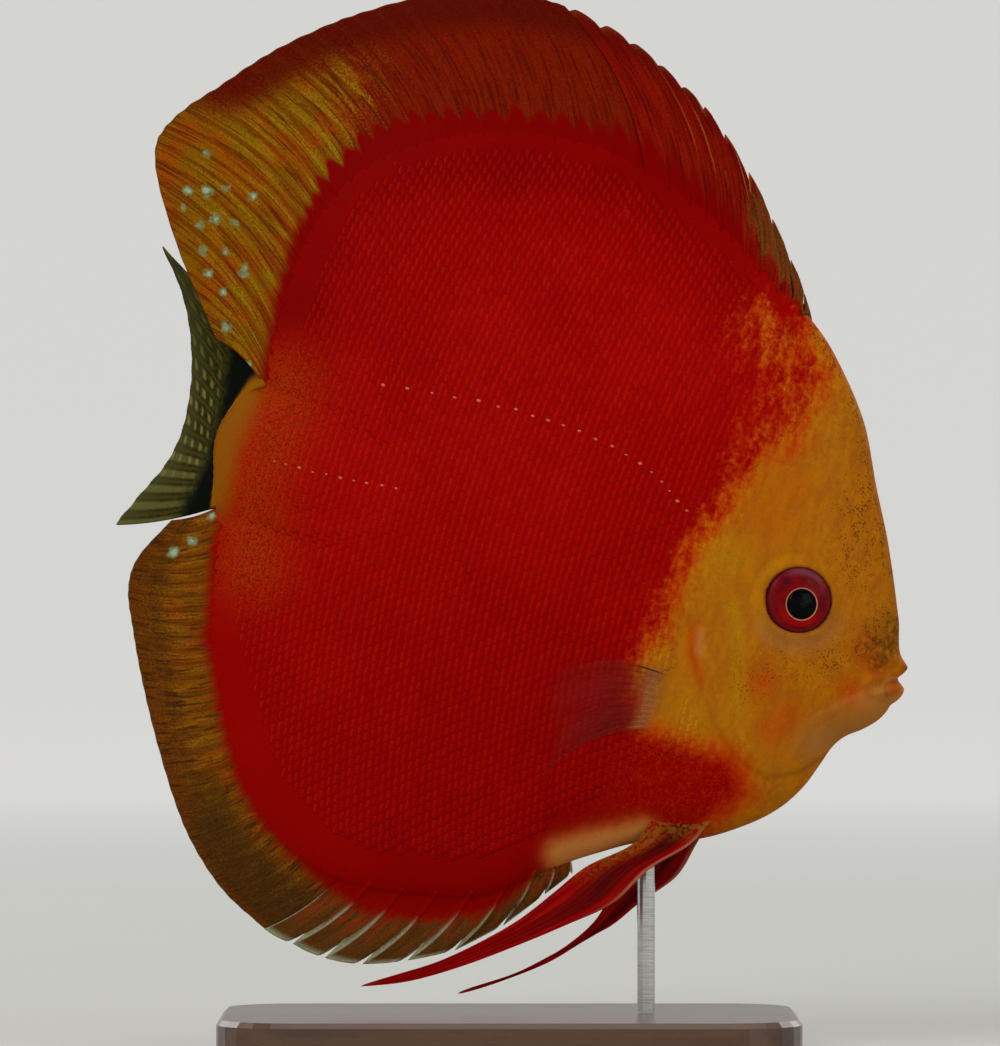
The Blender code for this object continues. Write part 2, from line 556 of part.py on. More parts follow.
def fin_nodes():
    body = body_solid("grown_body", GAP)
    nodes = [
        spiny_fin("fin_dorsal_spines", shortened(DORSAL_SPINES, -1), DORSAL_NOTCH, DORSAL_BOW),
        rayed_fin("fin_dorsal_rays", shortened(DORSAL_RAYS, 0), DORSAL_RAY_COUNT, DORSAL_BOW),
        spiny_fin("fin_anal_spines", shortened(ANAL_SPINES, -1), ANAL_NOTCH, ANAL_BOW),
        rayed_fin("fin_anal_rays", shortened(ANAL_RAYS, -1), ANAL_RAY_COUNT, ANAL_BOW),
        caudal_fin(body),
        pelvic_fin("fin_pelvic_right", -1.0, PELVIC_RIGHT_LOWER, PELVIC_RIGHT_UPPER, body),
        pelvic_fin("fin_pelvic_left", 1.0, PELVIC_LEFT_LOWER, PELVIC_LEFT_UPPER, body),
        pectoral_fin("fin_pectoral_right", -1.0, body),
        pectoral_fin("fin_pectoral_left", 1.0, body),
        rod_solid(body),
    ]
    remove(body)
    return nodes


def shortened(pairs, end):
    """The same fin edge, with the side at one end drawn back for a gap to its neighbour."""
    pairs = list(pairs)
    other = pairs[1] if end == 0 else pairs[-2]
    bearing, tip = pairs[end]
    tip = np.array(tip)
    toward = np.array(other[1]) - tip
    toward /= np.linalg.norm(toward)
    turn = math.copysign(math.degrees(GAP / 75.0), other[0] - bearing)
    pairs[end] = (bearing + turn, tuple(tip + toward * GAP))
    return pairs


def to_world(points):
    """From the fish's frame, bent and pitched, to metres in the world."""
    a, y, h = points.T
    behind = np.maximum(BEND_START - a, 0.0)
    past = np.maximum(behind - BEND_EASE_FROM, 0.0)
    reach = np.minimum(behind, BEND_EASE_FROM) + BEND_EASE * (1.0 - np.exp(-past / BEND_EASE))
    x = TAIL_X + a * math.cos(PITCH) + h * math.sin(PITCH)
    z = TAIL_Z - a * math.sin(PITCH) + h * math.cos(PITCH)
    return np.column_stack([x, y + BEND_RATE * reach**2, z]) * MM


def from_world(x, y, z):
    """From millimetres in the world to the fish's frame, ahead of the bend."""
    x, z = x - TAIL_X, z - TAIL_Z
    return x * math.cos(PITCH) - z * math.sin(PITCH), y, x * math.sin(PITCH) + z * math.cos(PITCH)


def rod_solid(body):
    """The rod stands on the base and ends just under the belly, between the pelvic fins."""
    around = 16
    turns = [2 * math.pi * k / around for k in range(around)]
    points = [from_world(ROD_X + ROD_RADIUS * math.cos(t), ROD_RADIUS * math.sin(t), z)
              for z in (BASE_SIZE[2] + GAP, ROD_TOP) for t in turns]
    faces = [tuple(range(around)), tuple(range(2 * around - 1, around - 1, -1))]
    faces += [(k, (k + 1) % around, (k + 1) % around + around, k + around) for k in range(around)]
    return combine(new_object("stand_rod", points, faces), body, "DIFFERENCE")


def place(obj):
    """Moves a finished piece from the fish's frame into the world."""
    points = np.array([v.co for v in obj.data.vertices])
    obj.data.vertices.foreach_set("co", to_world(points).astype(np.float32).ravel())
    obj.data.update()


def base_node():
    """A flat base with round corners and a softened upper edge."""
    length, width, height = BASE_SIZE
    outline, steps = [], 6
    for corner in range(4):
        side_x = 1.0 if corner in (0, 3) else -1.0
        side_y = 1.0 if corner in (0, 1) else -1.0
        for k in range(steps + 1):
            turn = math.radians(90.0 * corner + 90.0 * k / steps)
            outline.append((side_x * (length / 2 - BASE_CORNER), side_y * (width / 2 - BASE_CORNER),
                            math.cos(turn), math.sin(turn)))
    points = []
    for level, radius in ((0.0, BASE_CORNER), (height - BASE_EDGE, BASE_CORNER),
                          (height, BASE_CORNER - BASE_EDGE)):
        points += [((x + radius * c) * MM, (y + radius * s) * MM, level * MM) for x, y, c, s in outline]
    count = len(outline)
    faces = [tuple(range(count)), tuple(range(3 * count - 1, 2 * count - 1, -1))]
    for level in (0, count):
        faces += [(level + i, level + (i + 1) % count, level + count + (i + 1) % count, level + count + i)
                  for i in range(count)]
    return new_object("stand_base", points, faces)


LOOKS = {
    "head": ((0.36, 0.14, 0.01), 0.35, 0.0),
    "gill_cover": ((0.45, 0.17, 0.01), 0.3, 0.0),
    "torso": ((0.33, 0.004, 0.002), 0.35, 0.0),
    "tail_stalk": ((0.22, 0.06, 0.005), 0.35, 0.0),
    "eye": ((0.16, 0.003, 0.01), 0.08, 0.0),
    "fin_dorsal": ((0.12, 0.05, 0.012), 0.4, 0.0),
    "fin_anal": ((0.1, 0.045, 0.012), 0.4, 0.0),
    "fin_caudal": ((0.03, 0.03, 0.02), 0.4, 0.0),
    "fin_pelvic": ((0.34, 0.01, 0.005), 0.4, 0.0),
    "fin_pectoral": ((0.4, 0.2, 0.15), 0.35, 0.0),
    "stand_base": ((0.02, 0.02, 0.02), 0.3, 0.0),
    "stand_rod": ((0.6, 0.6, 0.6), 0.25, 1.0),
}


def finish(obj):
    """Gives a piece its own material and smooth shading."""
    key = next(k for k in LOOKS if obj.name.startswith(k))
    colour, roughness, metallic = LOOKS[key]
    material = bpy.data.materials.new(obj.name)
    material.use_nodes = True
    shader = material.node_tree.nodes["Principled BSDF"]
    shader.inputs["Base Color"].default_value = (*colour, 1.0)
    shader.inputs["Roughness"].default_value = roughness
    shader.inputs["Metallic"].default_value = metallic
    obj.data.materials.clear()
    obj.data.materials.append(material)
    obj.data.shade_smooth()
    obj.data.set_sharp_from_angle(angle=math.radians(40.0))


def main():
    for obj in list(bpy.data.objects):
        bpy.data.objects.remove(obj)
    nodes = body_nodes() + eye_and_cover_nodes() + fin_nodes()
    for obj in nodes:
        place(obj)
    for obj in nodes + [base_node()]:
        finish(obj)


main()
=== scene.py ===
"""Looks of the discus fish: one scaled skin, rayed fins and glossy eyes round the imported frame.

Shapes are worked out in the fish's own frame, in millimetres: a runs forward along the body
from the base of the tail, y to the fish's left, and h up the body. One mapping bends the tail,
pitches the fish and turns millimetres into metres, as in the part's own source.
"""

import json
import math
from functools import partial

import bpy
import numpy as np
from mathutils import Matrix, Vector

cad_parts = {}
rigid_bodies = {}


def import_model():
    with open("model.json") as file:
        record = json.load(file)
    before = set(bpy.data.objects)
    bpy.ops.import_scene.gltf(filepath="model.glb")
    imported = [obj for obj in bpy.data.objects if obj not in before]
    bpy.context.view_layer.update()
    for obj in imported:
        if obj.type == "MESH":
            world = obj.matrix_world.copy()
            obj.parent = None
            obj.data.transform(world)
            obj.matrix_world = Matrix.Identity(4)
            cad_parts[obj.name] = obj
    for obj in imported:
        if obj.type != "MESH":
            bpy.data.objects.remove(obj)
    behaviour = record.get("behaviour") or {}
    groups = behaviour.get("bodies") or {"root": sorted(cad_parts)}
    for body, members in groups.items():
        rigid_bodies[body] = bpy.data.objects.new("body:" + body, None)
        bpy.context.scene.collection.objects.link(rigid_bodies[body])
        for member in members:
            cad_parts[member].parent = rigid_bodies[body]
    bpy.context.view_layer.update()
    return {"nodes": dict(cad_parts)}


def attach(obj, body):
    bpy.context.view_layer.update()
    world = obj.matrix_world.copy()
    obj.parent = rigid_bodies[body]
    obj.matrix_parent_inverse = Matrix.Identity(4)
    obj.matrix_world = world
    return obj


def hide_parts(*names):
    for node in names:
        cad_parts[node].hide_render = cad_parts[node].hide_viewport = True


# Place and pose of the fish, as in the part
MM = 0.001
PITCH = math.radians(17.0)
TAIL_X, TAIL_Z = -52.67, 115.2
BEND_START, BEND_RATE = 30.0, 0.0037
BEND_EASE_FROM, BEND_EASE = 32.0, 6.0
CENTRE = np.array([62.0, 3.0])
SIDES = ((-1.0, "right"), (1.0, "left"))

# Outline of the flesh seen from the side, from the upper lip over the back
HEAD_TOP = [(134.9, -2.1), (133.5, -0.9), (132.5, 0.4), (131.7, 2.6), (130.8, 5.6), (129.6, 8.3),
            (127.3, 13.4), (123.8, 20.6), (119.1, 29.1), (113.2, 40.2), (105.0, 49.9), (98.3, 55.5)]
BACK = [(88.2, 61.4), (80.9, 65.9), (72.7, 69.6), (64.0, 72.9), (53.6, 75.3), (43.3, 75.4),
        (33.0, 73.5), (23.5, 70.0), (14.6, 65.0), (7.8, 58.5), (3.4, 50.5), (1.2, 41.0), (0.6, 30.0),
        (0.9, 20.9), (1.6, 14.0)]
TAIL_BASE = [(-0.3, 11.6), (-2.8, 5.5), (-3.2, 0.5), (-1.6, -5.5), (0.0, -10.8)]
BELLY = [(1.2, -14.2), (2.4, -19.8), (4.0, -27.4), (6.4, -36.0), (9.8, -43.2), (14.2, -51.4),
         (19.8, -59.4), (25.9, -65.4), (33.0, -69.8), (41.5, -72.2), (50.5, -72.0), (62.0, -70.0),
         (70.0, -67.4), (76.5, -62.6), (83.3, -57.0), (88.7, -53.2), (96.0, -48.8), (106.7, -44.8)]
THROAT = [(114.6, -39.5), (119.5, -34.7), (122.6, -29.6), (124.4, -24.5), (125.6, -20.8),
          (127.4, -18.1), (130.0, -16.0), (132.2, -13.7), (133.4, -11.6), (133.9, -9.9), (134.8, -8.8),
          (135.5, -7.2), (135.1, -5.7), (133.5, -4.9), (134.3, -3.7)]

# Half thickness of the body, as in the part
WIDTH_AT = [-4.0, 0.0, 20.0, 50.0, 80.0, 95.0, 110.0, 120.0, 130.0, 136.0]
HALF_WIDTH = [2.4, 3.0, 7.2, 10.8, 12.8, 13.2, 12.4, 11.2, 9.6, 8.4]
TRUNK_FALL, HEAD_FALL = (2.2, 0.75), (3.8, 0.58)
CORE_BLUR = 50.0
RIM_HALF, FIN_RIM_HALF = 0.25, 1.3
STALK_HALF, STALK_GROWTH, STALK_REACH = 3.4, 0.1, 12.6
FIN_RIMS = [(53.0, 173.0), (192.0, 291.0)]

# Head and its eyes, whose profile runs out from the axis: radius and height
EYE_AT, EYE_RADIUS, EYE_SIZE = (111.0, 4.0), 6.2, 0.94
PUPIL_SHIFT = (0.5, -0.6)
EYE_PROFILE = [(0.0, 1.8), (0.8, 1.76), (1.6, 1.64), (2.3, 1.44), (2.8, 1.2), (3.05, 1.02), (3.12, 1.12),
               (3.22, 1.2), (3.36, 1.17), (3.5, 1.06), (4.0, 1.05), (4.6, 1.0), (5.2, 0.9), (5.7, 0.76),
               (6.1, 0.58), (6.4, 0.36), (6.6, 0.1), (6.72, -0.3), (6.74, -0.9), (6.5, -1.6), (4.0, -2.2)]
NOSTRIL_AT, NOSTRIL_RADIUS = (124.0, 7.0), 0.32
MOUTH_LINE = [(136.0, -3.9), (130.0, -7.3)]
LIP_RISE, LIP_APART, LIP_WIDTH = 0.8, 1.5, 1.0
LIP_PAD = (133.4, -6.9)
COVER_RISE, CHEEK_RISE, PAD_RISE = 0.4, 0.3, 0.9
LIP_CREASE_DEPTH, JAW_CREASE_DEPTH, MOUTH_DEPTH, SOCKET_DEPTH = 0.12, 0.2, 2.2, 3.2
LIP_CREASES = [[(130.2, -8.6), (129.6, -10.6)], [(128.9, -9.0), (128.4, -11.2)]]
GILL_EDGE = [(90.7, 14.0), (90.7, 4.0), (91.6, -4.0), (93.4, -9.6), (96.6, -14.6), (100.0, -19.6),
             (104.0, -24.2), (109.6, -28.4), (115.2, -29.6), (120.2, -27.0), (124.2, -22.6)]
CHEEK_RIDGE = [(99.6, -1.0), (102.6, -6.9), (104.9, -11.9), (107.0, -16.8), (109.0, -21.5), (111.4, -25.6)]
SCALE_FRONT = [(116.0, 66.0), (110.0, 44.0), (103.0, 28.0), (96.0, 18.0)] + GILL_EDGE[1:9]
VENT = [(82.6, -55.4), (88.7, -51.6), (96.0, -47.6)]
JAW_CREASE = [(130.0, -7.3), (128.4, -8.4), (124.5, -11.4), (120.5, -15.8), (118.0, -19.4)]

# Fins: the bearing of each spine's or ray's root, and its tip
DORSAL_SPINES = [(55.3, (97.6, 57.0)), (57.4, (93.5, 62.6)), (59.8, (88.9, 67.9)), (63.2, (82.5, 75.2)),
                 (67.6, (75.4, 81.9)), (71.6, (69.6, 86.5)), (74.6, (65.2, 89.4)), (77.0, (60.7, 91.4)),
                 (80.0, (55.0, 94.3)), (83.4, (48.6, 96.6)), (87.4, (42.4, 97.8)), (91.8, (35.6, 99.1))]
DORSAL_RAYS = [(91.8, (35.6, 99.1)), (98.4, (31.0, 99.0)), (103.8, (26.2, 98.2)), (110.0, (17.5, 96.4)),
               (116.3, (7.8, 92.1)), (121.0, (-0.4, 87.0)), (125.4, (-6.2, 82.8)), (130.0, (-13.2, 76.6)),
               (135.0, (-18.0, 71.4)), (140.3, (-22.8, 65.4)), (143.8, (-27.4, 60.0)),
               (147.4, (-30.4, 54.8)), (152.4, (-30.9, 50.2)), (160.4, (-27.9, 43.4)),
               (167.0, (-20.8, 33.0)), (169.4, (-15.0, 26.1)), (170.6, (-9.4, 19.4))]
ANAL_RAYS = [(192.6, (-7.3, -16.4)), (200.4, (-11.3, -25.0)), (207.7, (-11.3, -31.4)),
             (214.5, (-8.2, -38.4)), (220.5, (-4.2, -46.2)), (227.9, (1.4, -55.8)),
             (236.1, (8.8, -66.9)), (242.1, (15.0, -74.3)), (248.4, (23.0, -80.8)), (256.0, (32.5, -85.4))]
ANAL_SPINES = [(290.6, (85.4, -58.2)), (288.2, (81.6, -63.4)), (284.8, (75.8, -71.4)),
               (280.5, (68.4, -78.6)), (275.2, (60.4, -83.1)), (270.0, (52.4, -86.3)),
               (265.0, (45.2, -87.3)), (260.4, (38.6, -86.5)), (256.0, (32.5, -85.4))]
DORSAL_BOW, ANAL_BOW = -0.08, 0.06
CAUDAL_BEARINGS = (170.0, 192.8)
CAUDAL_BOW = (1.7, 1.9)
CAUDAL_SAG = 0.9
CAUDAL_TIPS = [(-24.9, 9.0, 33.5), (-19.5, 12.0, 27.3), (-15.7, 15.5, 20.9), (-12.9, 18.0, 13.5),
               (-11.5, 19.5, 7.0), (-11.0, 20.0, 0.2), (-12.1, 20.0, -6.5), (-14.9, 19.0, -13.1),
               (-18.0, 17.0, -20.6)]
PECTORAL_BOW, PECTORAL_FLARE = -0.11, 7.4
PECTORAL_ROOT = [(92.4, -16.6), (93.0, -21.8), (92.8, -26.8)]
PECTORAL_TIPS = [(71.6, -21.8), (70.9, -25.0), (72.4, -29.2), (74.6, -33.4), (75.4, -37.6), (74.2, -41.8)]
PELVIC_APART, PELVIC_FLARE = 3.5, 4.0
PELVIC_RIGHT_LOWER = [(107.5, -41.0), (105.0, -46.3), (98.9, -53.1), (94.5, -60.8), (87.5, -67.2),
                      (78.8, -74.4), (70.2, -81.0), (62.0, -86.3), (53.5, -90.4)]
PELVIC_RIGHT_UPPER = [(97.5, -42.0), (94.6, -49.4), (87.5, -56.0), (82.7, -62.9), (78.2, -69.2),
                      (72.6, -75.2), (66.2, -81.0), (60.0, -85.3), (53.0, -89.6)]
PELVIC_LEFT_LOWER = [(107.5, -41.0), (106.4, -46.0), (104.6, -53.0), (99.4, -59.7), (95.8, -65.3),
                     (91.2, -70.5), (86.0, -76.2), (79.2, -81.7), (71.7, -87.2)]
PELVIC_LEFT_UPPER = [(97.5, -42.0), (96.0, -49.0), (94.2, -57.0), (92.5, -65.3), (89.0, -71.4),
                     (85.2, -75.6), (81.0, -79.6), (76.6, -82.8), (71.0, -86.4)]
MEMBRANE_HALF, RAY_RISE, SPINE_RISE = 0.14, 0.1, 0.3
ROOT_SUNK, FOOT_HALF, FOOT_REACH, FOOT_SINK = 1.2, 1.24, 3.0, 0.15
STEPS_PER_RAY = 14

# Mesh of the skin
HEAD_BEARING, HEAD_STEP, TRUNK_STEP = 52.0, 0.34, 0.8
INNER_RINGS, OUTER_RINGS, INNER_SHARE = 26, 96, 0.35

# Scales
SCALE_PITCH_A, SCALE_PITCH_H = 1.3, 1.85
SCALE_REACH_A, SCALE_REACH_H = (-6.0, 118.0), (-78.0, 80.0)
SCALE_HALF_A, SCALE_HALF_H = 1.12, 1.3
SCALE_ROW_CURVE = 0.0022
SCALE_CORNERS, SCALE_RING = 10, 0.62
SCALE_STRAY, SCALE_DEPTH, LEAST_RAISED = 0.07, 0.3, 0.12
COAT_SPLIT = 52.0
COAT_DEPTH = 0.055
BAKE_PATCH, BAKE_SIZE = 0.003, 0.003

# Pores of the lateral line: each ring's share of the radius, and its level over the skin
PORE_RADIUS = 0.26
PORE_RINGS = [(1.0, -0.2), (1.0, COAT_DEPTH + 0.06), (0.62, COAT_DEPTH + 0.2)]

# Markings, in the fish's frame
ORANGE_EDGE = [(91.0, 70.0), (90.9, 58.0), (90.4, 52.6), (92.4, 47.9), (97.2, 44.1), (95.8, 38.4),
               (95.8, 30.0), (94.0, 21.9), (92.4, 15.0), (89.6, 8.1), (88.7, -1.1), (87.7, -9.5),
               (85.6, -17.4), (90.0, -27.0), (99.2, -27.8), (106.1, -26.6), (110.4, -28.9),
               (113.4, -34.3), (108.4, -41.7), (104.0, -58.0)]
UPPER_DOTS = [(24.1, 20.1), (45.1, 22.4), (60.5, 22.5), (75.6, 19.7), (85.8, 14.1)]
LOWER_DOTS = [(8.4, 0.0), (20.0, 0.8), (31.8, 1.9)]
DORSAL_RED = [(88.2, 60.8), (80.9, 66.2), (72.7, 70.1), (64.0, 73.7), (52.6, 77.8), (43.6, 78.1),
              (34.0, 76.5), (25.3, 73.9), (16.6, 71.2), (11.3, 67.7), (7.8, 64.7), (4.3, 59.5),
              (1.7, 55.4), (0.7, 48.1), (-0.6, 42.0), (-0.3, 30.7), (0.8, 20.9), (2.0, 12.0)]
ANAL_RED = [(1.9, -13.0), (1.9, -19.4), (4.0, -27.4), (5.6, -35.7), (9.2, -42.1), (13.6, -50.6),
            (19.6, -60.0), (25.7, -65.6), (32.5, -69.7), (41.5, -74.2), (50.5, -76.6), (60.0, -75.0),
            (70.0, -71.0), (80.0, -62.0)]
DORSAL_SPOTS = [(-21.4, 52.5), (-22.6, 44.6), (-19.1, 45.6), (-15.8, 47.2), (-10.7, 47.2),
                (-22.5, 41.2), (-18.6, 39.2), (-15.9, 41.0), (-12.2, 41.2), (-16.4, 34.7),
                (-12.3, 35.8), (-14.3, 30.6), (-7.8, 33.2), (-10.4, 28.2), (-8.0, 21.8), (-1.8, 16.2)]
ANAL_SPOTS = [(-0.1, -13.4), (-2.2, -18.8), (-5.2, -21.9)]
SPOT_RADIUS = 1.1

# Stage, in metres, and the photograph's frame
FLOOR_FLAT, FLOOR_BEND, WALL_HEIGHT, WALL_GLOW = 1.9, 0.6, 1.1, 0.66
LIT_PLACE = (0.0, 0.0, 0.1)
PIXEL, IMAGE, TAIL_PIXEL = 0.19, (1000, 1046), (232.0, 449.0)
LENS, SENSOR = 300.0, 36.0


def ramp(value):
    """Nought up to 0 and one from 1 on, with a soft rise between."""
    value = np.clip(value, 0.0, 1.0)
    return value * value * (3.0 - 2.0 * value)


def bump_of(off, width):
    """A soft round rise of height one, for a distance off its top."""
    return np.exp(-((off / width) ** 2))


def spline(points, count, closed=False):
    """Evenly numbered points along a smooth curve through the given points."""
    points = np.array(points, float)
    size = len(points)
    place = np.linspace(0.0, size if closed else size - 1, count, endpoint=not closed)
    start = np.minimum(place.astype(int), size if closed else size - 2)
    t = (place - start)[:, None]
    if closed:
        before, first, second, after = (points[(start + k) % size] for k in (-1, 0, 1, 2))
    else:
        long = np.vstack([2 * points[0] - points[1], points, 2 * points[-1] - points[-2]])
        before, first, second, after = (long[start + k] for k in (0, 1, 2, 3))
    return 0.5 * (2 * first + (second - before) * t
                  + (2 * before - 5 * first + 4 * second - after) * t**2
                  + (3 * first - before - 3 * second + after) * t**3)


def from_line(a, h, line):
    """Distance to a line, which side of it a place is on, and how far along the nearest point is."""
    line = np.array(line, float)
    best = np.full(np.shape(a), np.inf)
    side, along = np.zeros(np.shape(a)), np.zeros(np.shape(a))
    for number, (p, q) in enumerate(zip(line[:-1], line[1:])):
        run = q - p
        share = np.clip(((a - p[0]) * run[0] + (h - p[1]) * run[1]) / (run @ run), 0.0, 1.0)
        off_a, off_h = a - p[0] - share * run[0], h - p[1] - share * run[1]
        apart = np.hypot(off_a, off_h)
        nearer = apart < best
        best = np.where(nearer, apart, best)
        side = np.where(nearer, np.sign(run[0] * off_h - run[1] * off_a), side)
        along = np.where(nearer, (number + share) / (len(line) - 1), along)
    return best, side, along


def near(a, h, line, width):
    """One on a line, and falling away from it."""
    return bump_of(from_line(a, h, line)[0], width)


def distance(a, h, place):
    return np.hypot(a - place[0], h - place[1])


def around(a, h, places, width):
    """One at the nearest of a few places, and falling away from them."""
    return strongest(*(bump_of(distance(a, h, place), width) for place in places))


def strongest(*masks):
    """The largest of a few masks at each place."""
    return np.maximum.reduce(masks)


# The body

def from_centre(a, h):
    """Bearing of a place from the centre of the body in degrees, and its distance."""
    bearing = np.degrees(np.arctan2(h - CENTRE[1], a - CENTRE[0])) % 360.0
    return bearing, distance(a, h, CENTRE)


def outline_table():
    """Distance from the centre to the outline, for bearings all the way round."""
    curve = spline(HEAD_TOP + BACK + TAIL_BASE + BELLY + THROAT, 1200, closed=True)
    bearing, radius = from_centre(*curve.T)
    order = np.argsort(bearing)
    even = np.arange(0.0, 360.0, 0.5)
    radius = np.interp(even, bearing[order], radius[order], period=360.0)
    window = int(2 * CORE_BLUR)
    doubled = np.concatenate([radius[-window:], radius, radius[:window]])
    core = np.convolve(doubled, np.hanning(2 * window + 1) / window, "valid")
    return even, radius, core


TABLE_BEARING, TABLE_RADIUS, TABLE_CORE = outline_table()


def outline_radius(bearing):
    return np.interp(bearing % 360.0, TABLE_BEARING, TABLE_RADIUS, period=360.0)


def share_of_radius(a, h):
    """How far a place lies from the centre to the outline, with the outline's corners eased inside."""
    bearing, length = from_centre(a, h)
    radius = outline_radius(bearing)
    core = np.interp(bearing, TABLE_BEARING, TABLE_CORE, period=360.0)
    eased = core + (radius - core) * ramp(length / radius)
    return np.clip(length / eased, 0.0, 1.0)


def outline_point(bearing, out=0.0):
    turn = np.radians(bearing)
    return CENTRE + (outline_radius(bearing) + out) * np.array([np.cos(turn), np.sin(turn)])


def rim_half(bearing):
    """The rim is thick where a fin grows from it."""
    on_fin = sum(ramp((bearing - low) / 6.0) * ramp((high - bearing) / 6.0) for low, high in FIN_RIMS)
    return RIM_HALF + (FIN_RIM_HALF - RIM_HALF) * on_fin


def half_thickness(a, h):
    """Half of the body's thickness at a place seen from the side."""
    a, h = np.asarray(a, float), np.asarray(h, float)
    share = share_of_radius(a, h)
    head = ramp((a - 85.0) / 30.0)
    power = TRUNK_FALL[0] + (HEAD_FALL[0] - TRUNK_FALL[0]) * head
    ease = TRUNK_FALL[1] + (HEAD_FALL[1] - TRUNK_FALL[1]) * head
    lens = (1.0 - share**power) ** ease
    trunk = np.interp(a, WIDTH_AT, HALF_WIDTH) * lens + rim_half(from_centre(a, h)[0]) * share**3
    round_off = np.sqrt(np.clip(1.0 - (h / STALK_REACH) ** 2, 0.0, 1.0))
    stalk = (STALK_HALF + STALK_GROWTH * a) * round_off * (1.0 - ramp((a - 10.0) / 25.0))
    lips = LIP_RISE * bump_of(from_line(a, h, MOUTH_LINE)[0] - LIP_APART, LIP_WIDTH)
    return np.sqrt(trunk**2 + stalk**2) + lips


def relief(a, h):
    """The skin's own forms on top of the body's shape: gill cover, creases, eye rims and nostrils."""
    edge, side, along = from_line(a, h, GILL_EDGE)
    ends = ramp(along / 0.08) * ramp((1.0 - along) / 0.12)
    cover = COVER_RISE * ramp(1.0 - edge / 13.0) * ramp(0.5 + side * edge / 1.4)
    rise = ends * (cover - 0.12 * bump_of(edge - 0.9, 0.8) * (side < 0))
    cheek, side, along = from_line(a, h, CHEEK_RIDGE)
    ends = ramp(along / 0.2) * ramp((1.0 - along) / 0.2)
    rise += ends * CHEEK_RISE * (bump_of(cheek, 1.0) - 0.8 * bump_of(cheek - 1.3, 0.7) * (side < 0))
    pad = distance(a, h, LIP_PAD)
    rise += PAD_RISE * bump_of(pad, 1.7)
    rise -= 0.4 * bump_of(pad - 2.1, 0.5) * ramp(LIP_PAD[0] + 0.4 - a)
    for crease in LIP_CREASES:
        rise -= LIP_CREASE_DEPTH * near(a, h, crease, 0.35)
    jaw, side, along = from_line(a, h, JAW_CREASE)
    rise -= JAW_CREASE_DEPTH * bump_of(jaw, 0.6) * ramp((1.0 - along) / 0.8)
    mouth, side, along = from_line(a, h, MOUTH_LINE)
    rise -= MOUTH_DEPTH * ramp((0.85 - along) / 0.6) * bump_of(mouth, 0.34)
    eye = distance(a, h, EYE_AT) - EYE_RADIUS
    rise += 0.4 * bump_of(eye - 0.7, 0.8) - 0.15 * bump_of(eye - 2.6, 0.7)
    rise -= SOCKET_DEPTH * (1.0 - ramp((eye + 0.5) / 0.5))
    nostril = distance(a, h, NOSTRIL_AT)
    rise += 0.05 * bump_of(nostril - 0.75, 0.3) - 0.4 * bump_of(nostril, NOSTRIL_RADIUS)
    return rise


def skin_half(a, h):
    """Half of the thickness with the skin's own forms, which fade out at the rim."""
    return half_thickness(a, h) + (relief(a, h) - COAT_DEPTH) * (1.0 - share_of_radius(a, h) ** 12)


def swing(a):
    """How far the tail's bend carries a place to the fish's left."""
    behind = np.maximum(BEND_START - a, 0.0)
    past = np.maximum(behind - BEND_EASE_FROM, 0.0)
    reach = np.minimum(behind, BEND_EASE_FROM) + BEND_EASE * (1.0 - np.exp(-past / BEND_EASE))
    return BEND_RATE * reach**2


def to_world(points):
    """From the fish's frame, bent and pitched, to metres in the world."""
    a, y, h = np.asarray(points, float).reshape(-1, 3).T
    x = TAIL_X + a * math.cos(PITCH) + h * math.sin(PITCH)
    z = TAIL_Z - a * math.sin(PITCH) + h * math.cos(PITCH)
    return np.column_stack([x, y + swing(a), z]) * MM


def from_world(points):
    """From millimetres in the world back to the fish's frame, the bend undone."""
    x, y, z = points.T
    x, z = x - TAIL_X, z - TAIL_Z
    a = x * math.cos(PITCH) - z * math.sin(PITCH)
    return np.column_stack([a, y - swing(a), x * math.sin(PITCH) + z * math.cos(PITCH)])


# Meshes and markings

def mesh_of(name, points, faces, attributes):
    """A mesh in the world from points in the fish's frame, with its attributes on the points."""
    faces = np.asarray(faces, np.int32)
    mesh = bpy.data.meshes.new(name)
    mesh.vertices.add(len(points))
    mesh.vertices.foreach_set("co", to_world(points).astype(np.float32).ravel())
    mesh.loops.add(faces.size)
    mesh.loops.foreach_set("vertex_index", faces.ravel())
    mesh.polygons.add(len(faces))
    mesh.polygons.foreach_set("loop_start", np.arange(0, faces.size, faces.shape[1], dtype=np.int32))
    mesh.update(calc_edges=True)
    for key, values in attributes.items():
        attribute = mesh.attributes.new(key, "FLOAT_VECTOR", "POINT")
        attribute.data.foreach_set("vector", np.asarray(values, np.float32).ravel())
    mesh.shade_smooth()
    return linked(name, mesh)


def linked(name, data):
    """A new object in the scene."""
    obj = bpy.data.objects.new(name, data)
    bpy.context.scene.collection.objects.link(obj)
    return obj


def ring_quads(rings, corners):
    """Quads between closed rings of points."""
    number = np.arange(rings * corners).reshape(rings, corners)
    following = np.roll(number, -1, axis=1)
    return np.stack([number[:-1], number[1:], following[1:], following[:-1]], -1).reshape(-1, 4)


def halved(quads):
    """Two triangles for each quad."""
    return np.vstack([quads[:, [0, 1, 2]], quads[:, [0, 2, 3]]])


def repeated(faces, points, count):
    """The faces of one form, for many copies of its points."""
    return (faces[None] + points * np.arange(count)[:, None, None]).reshape(-1, 3)


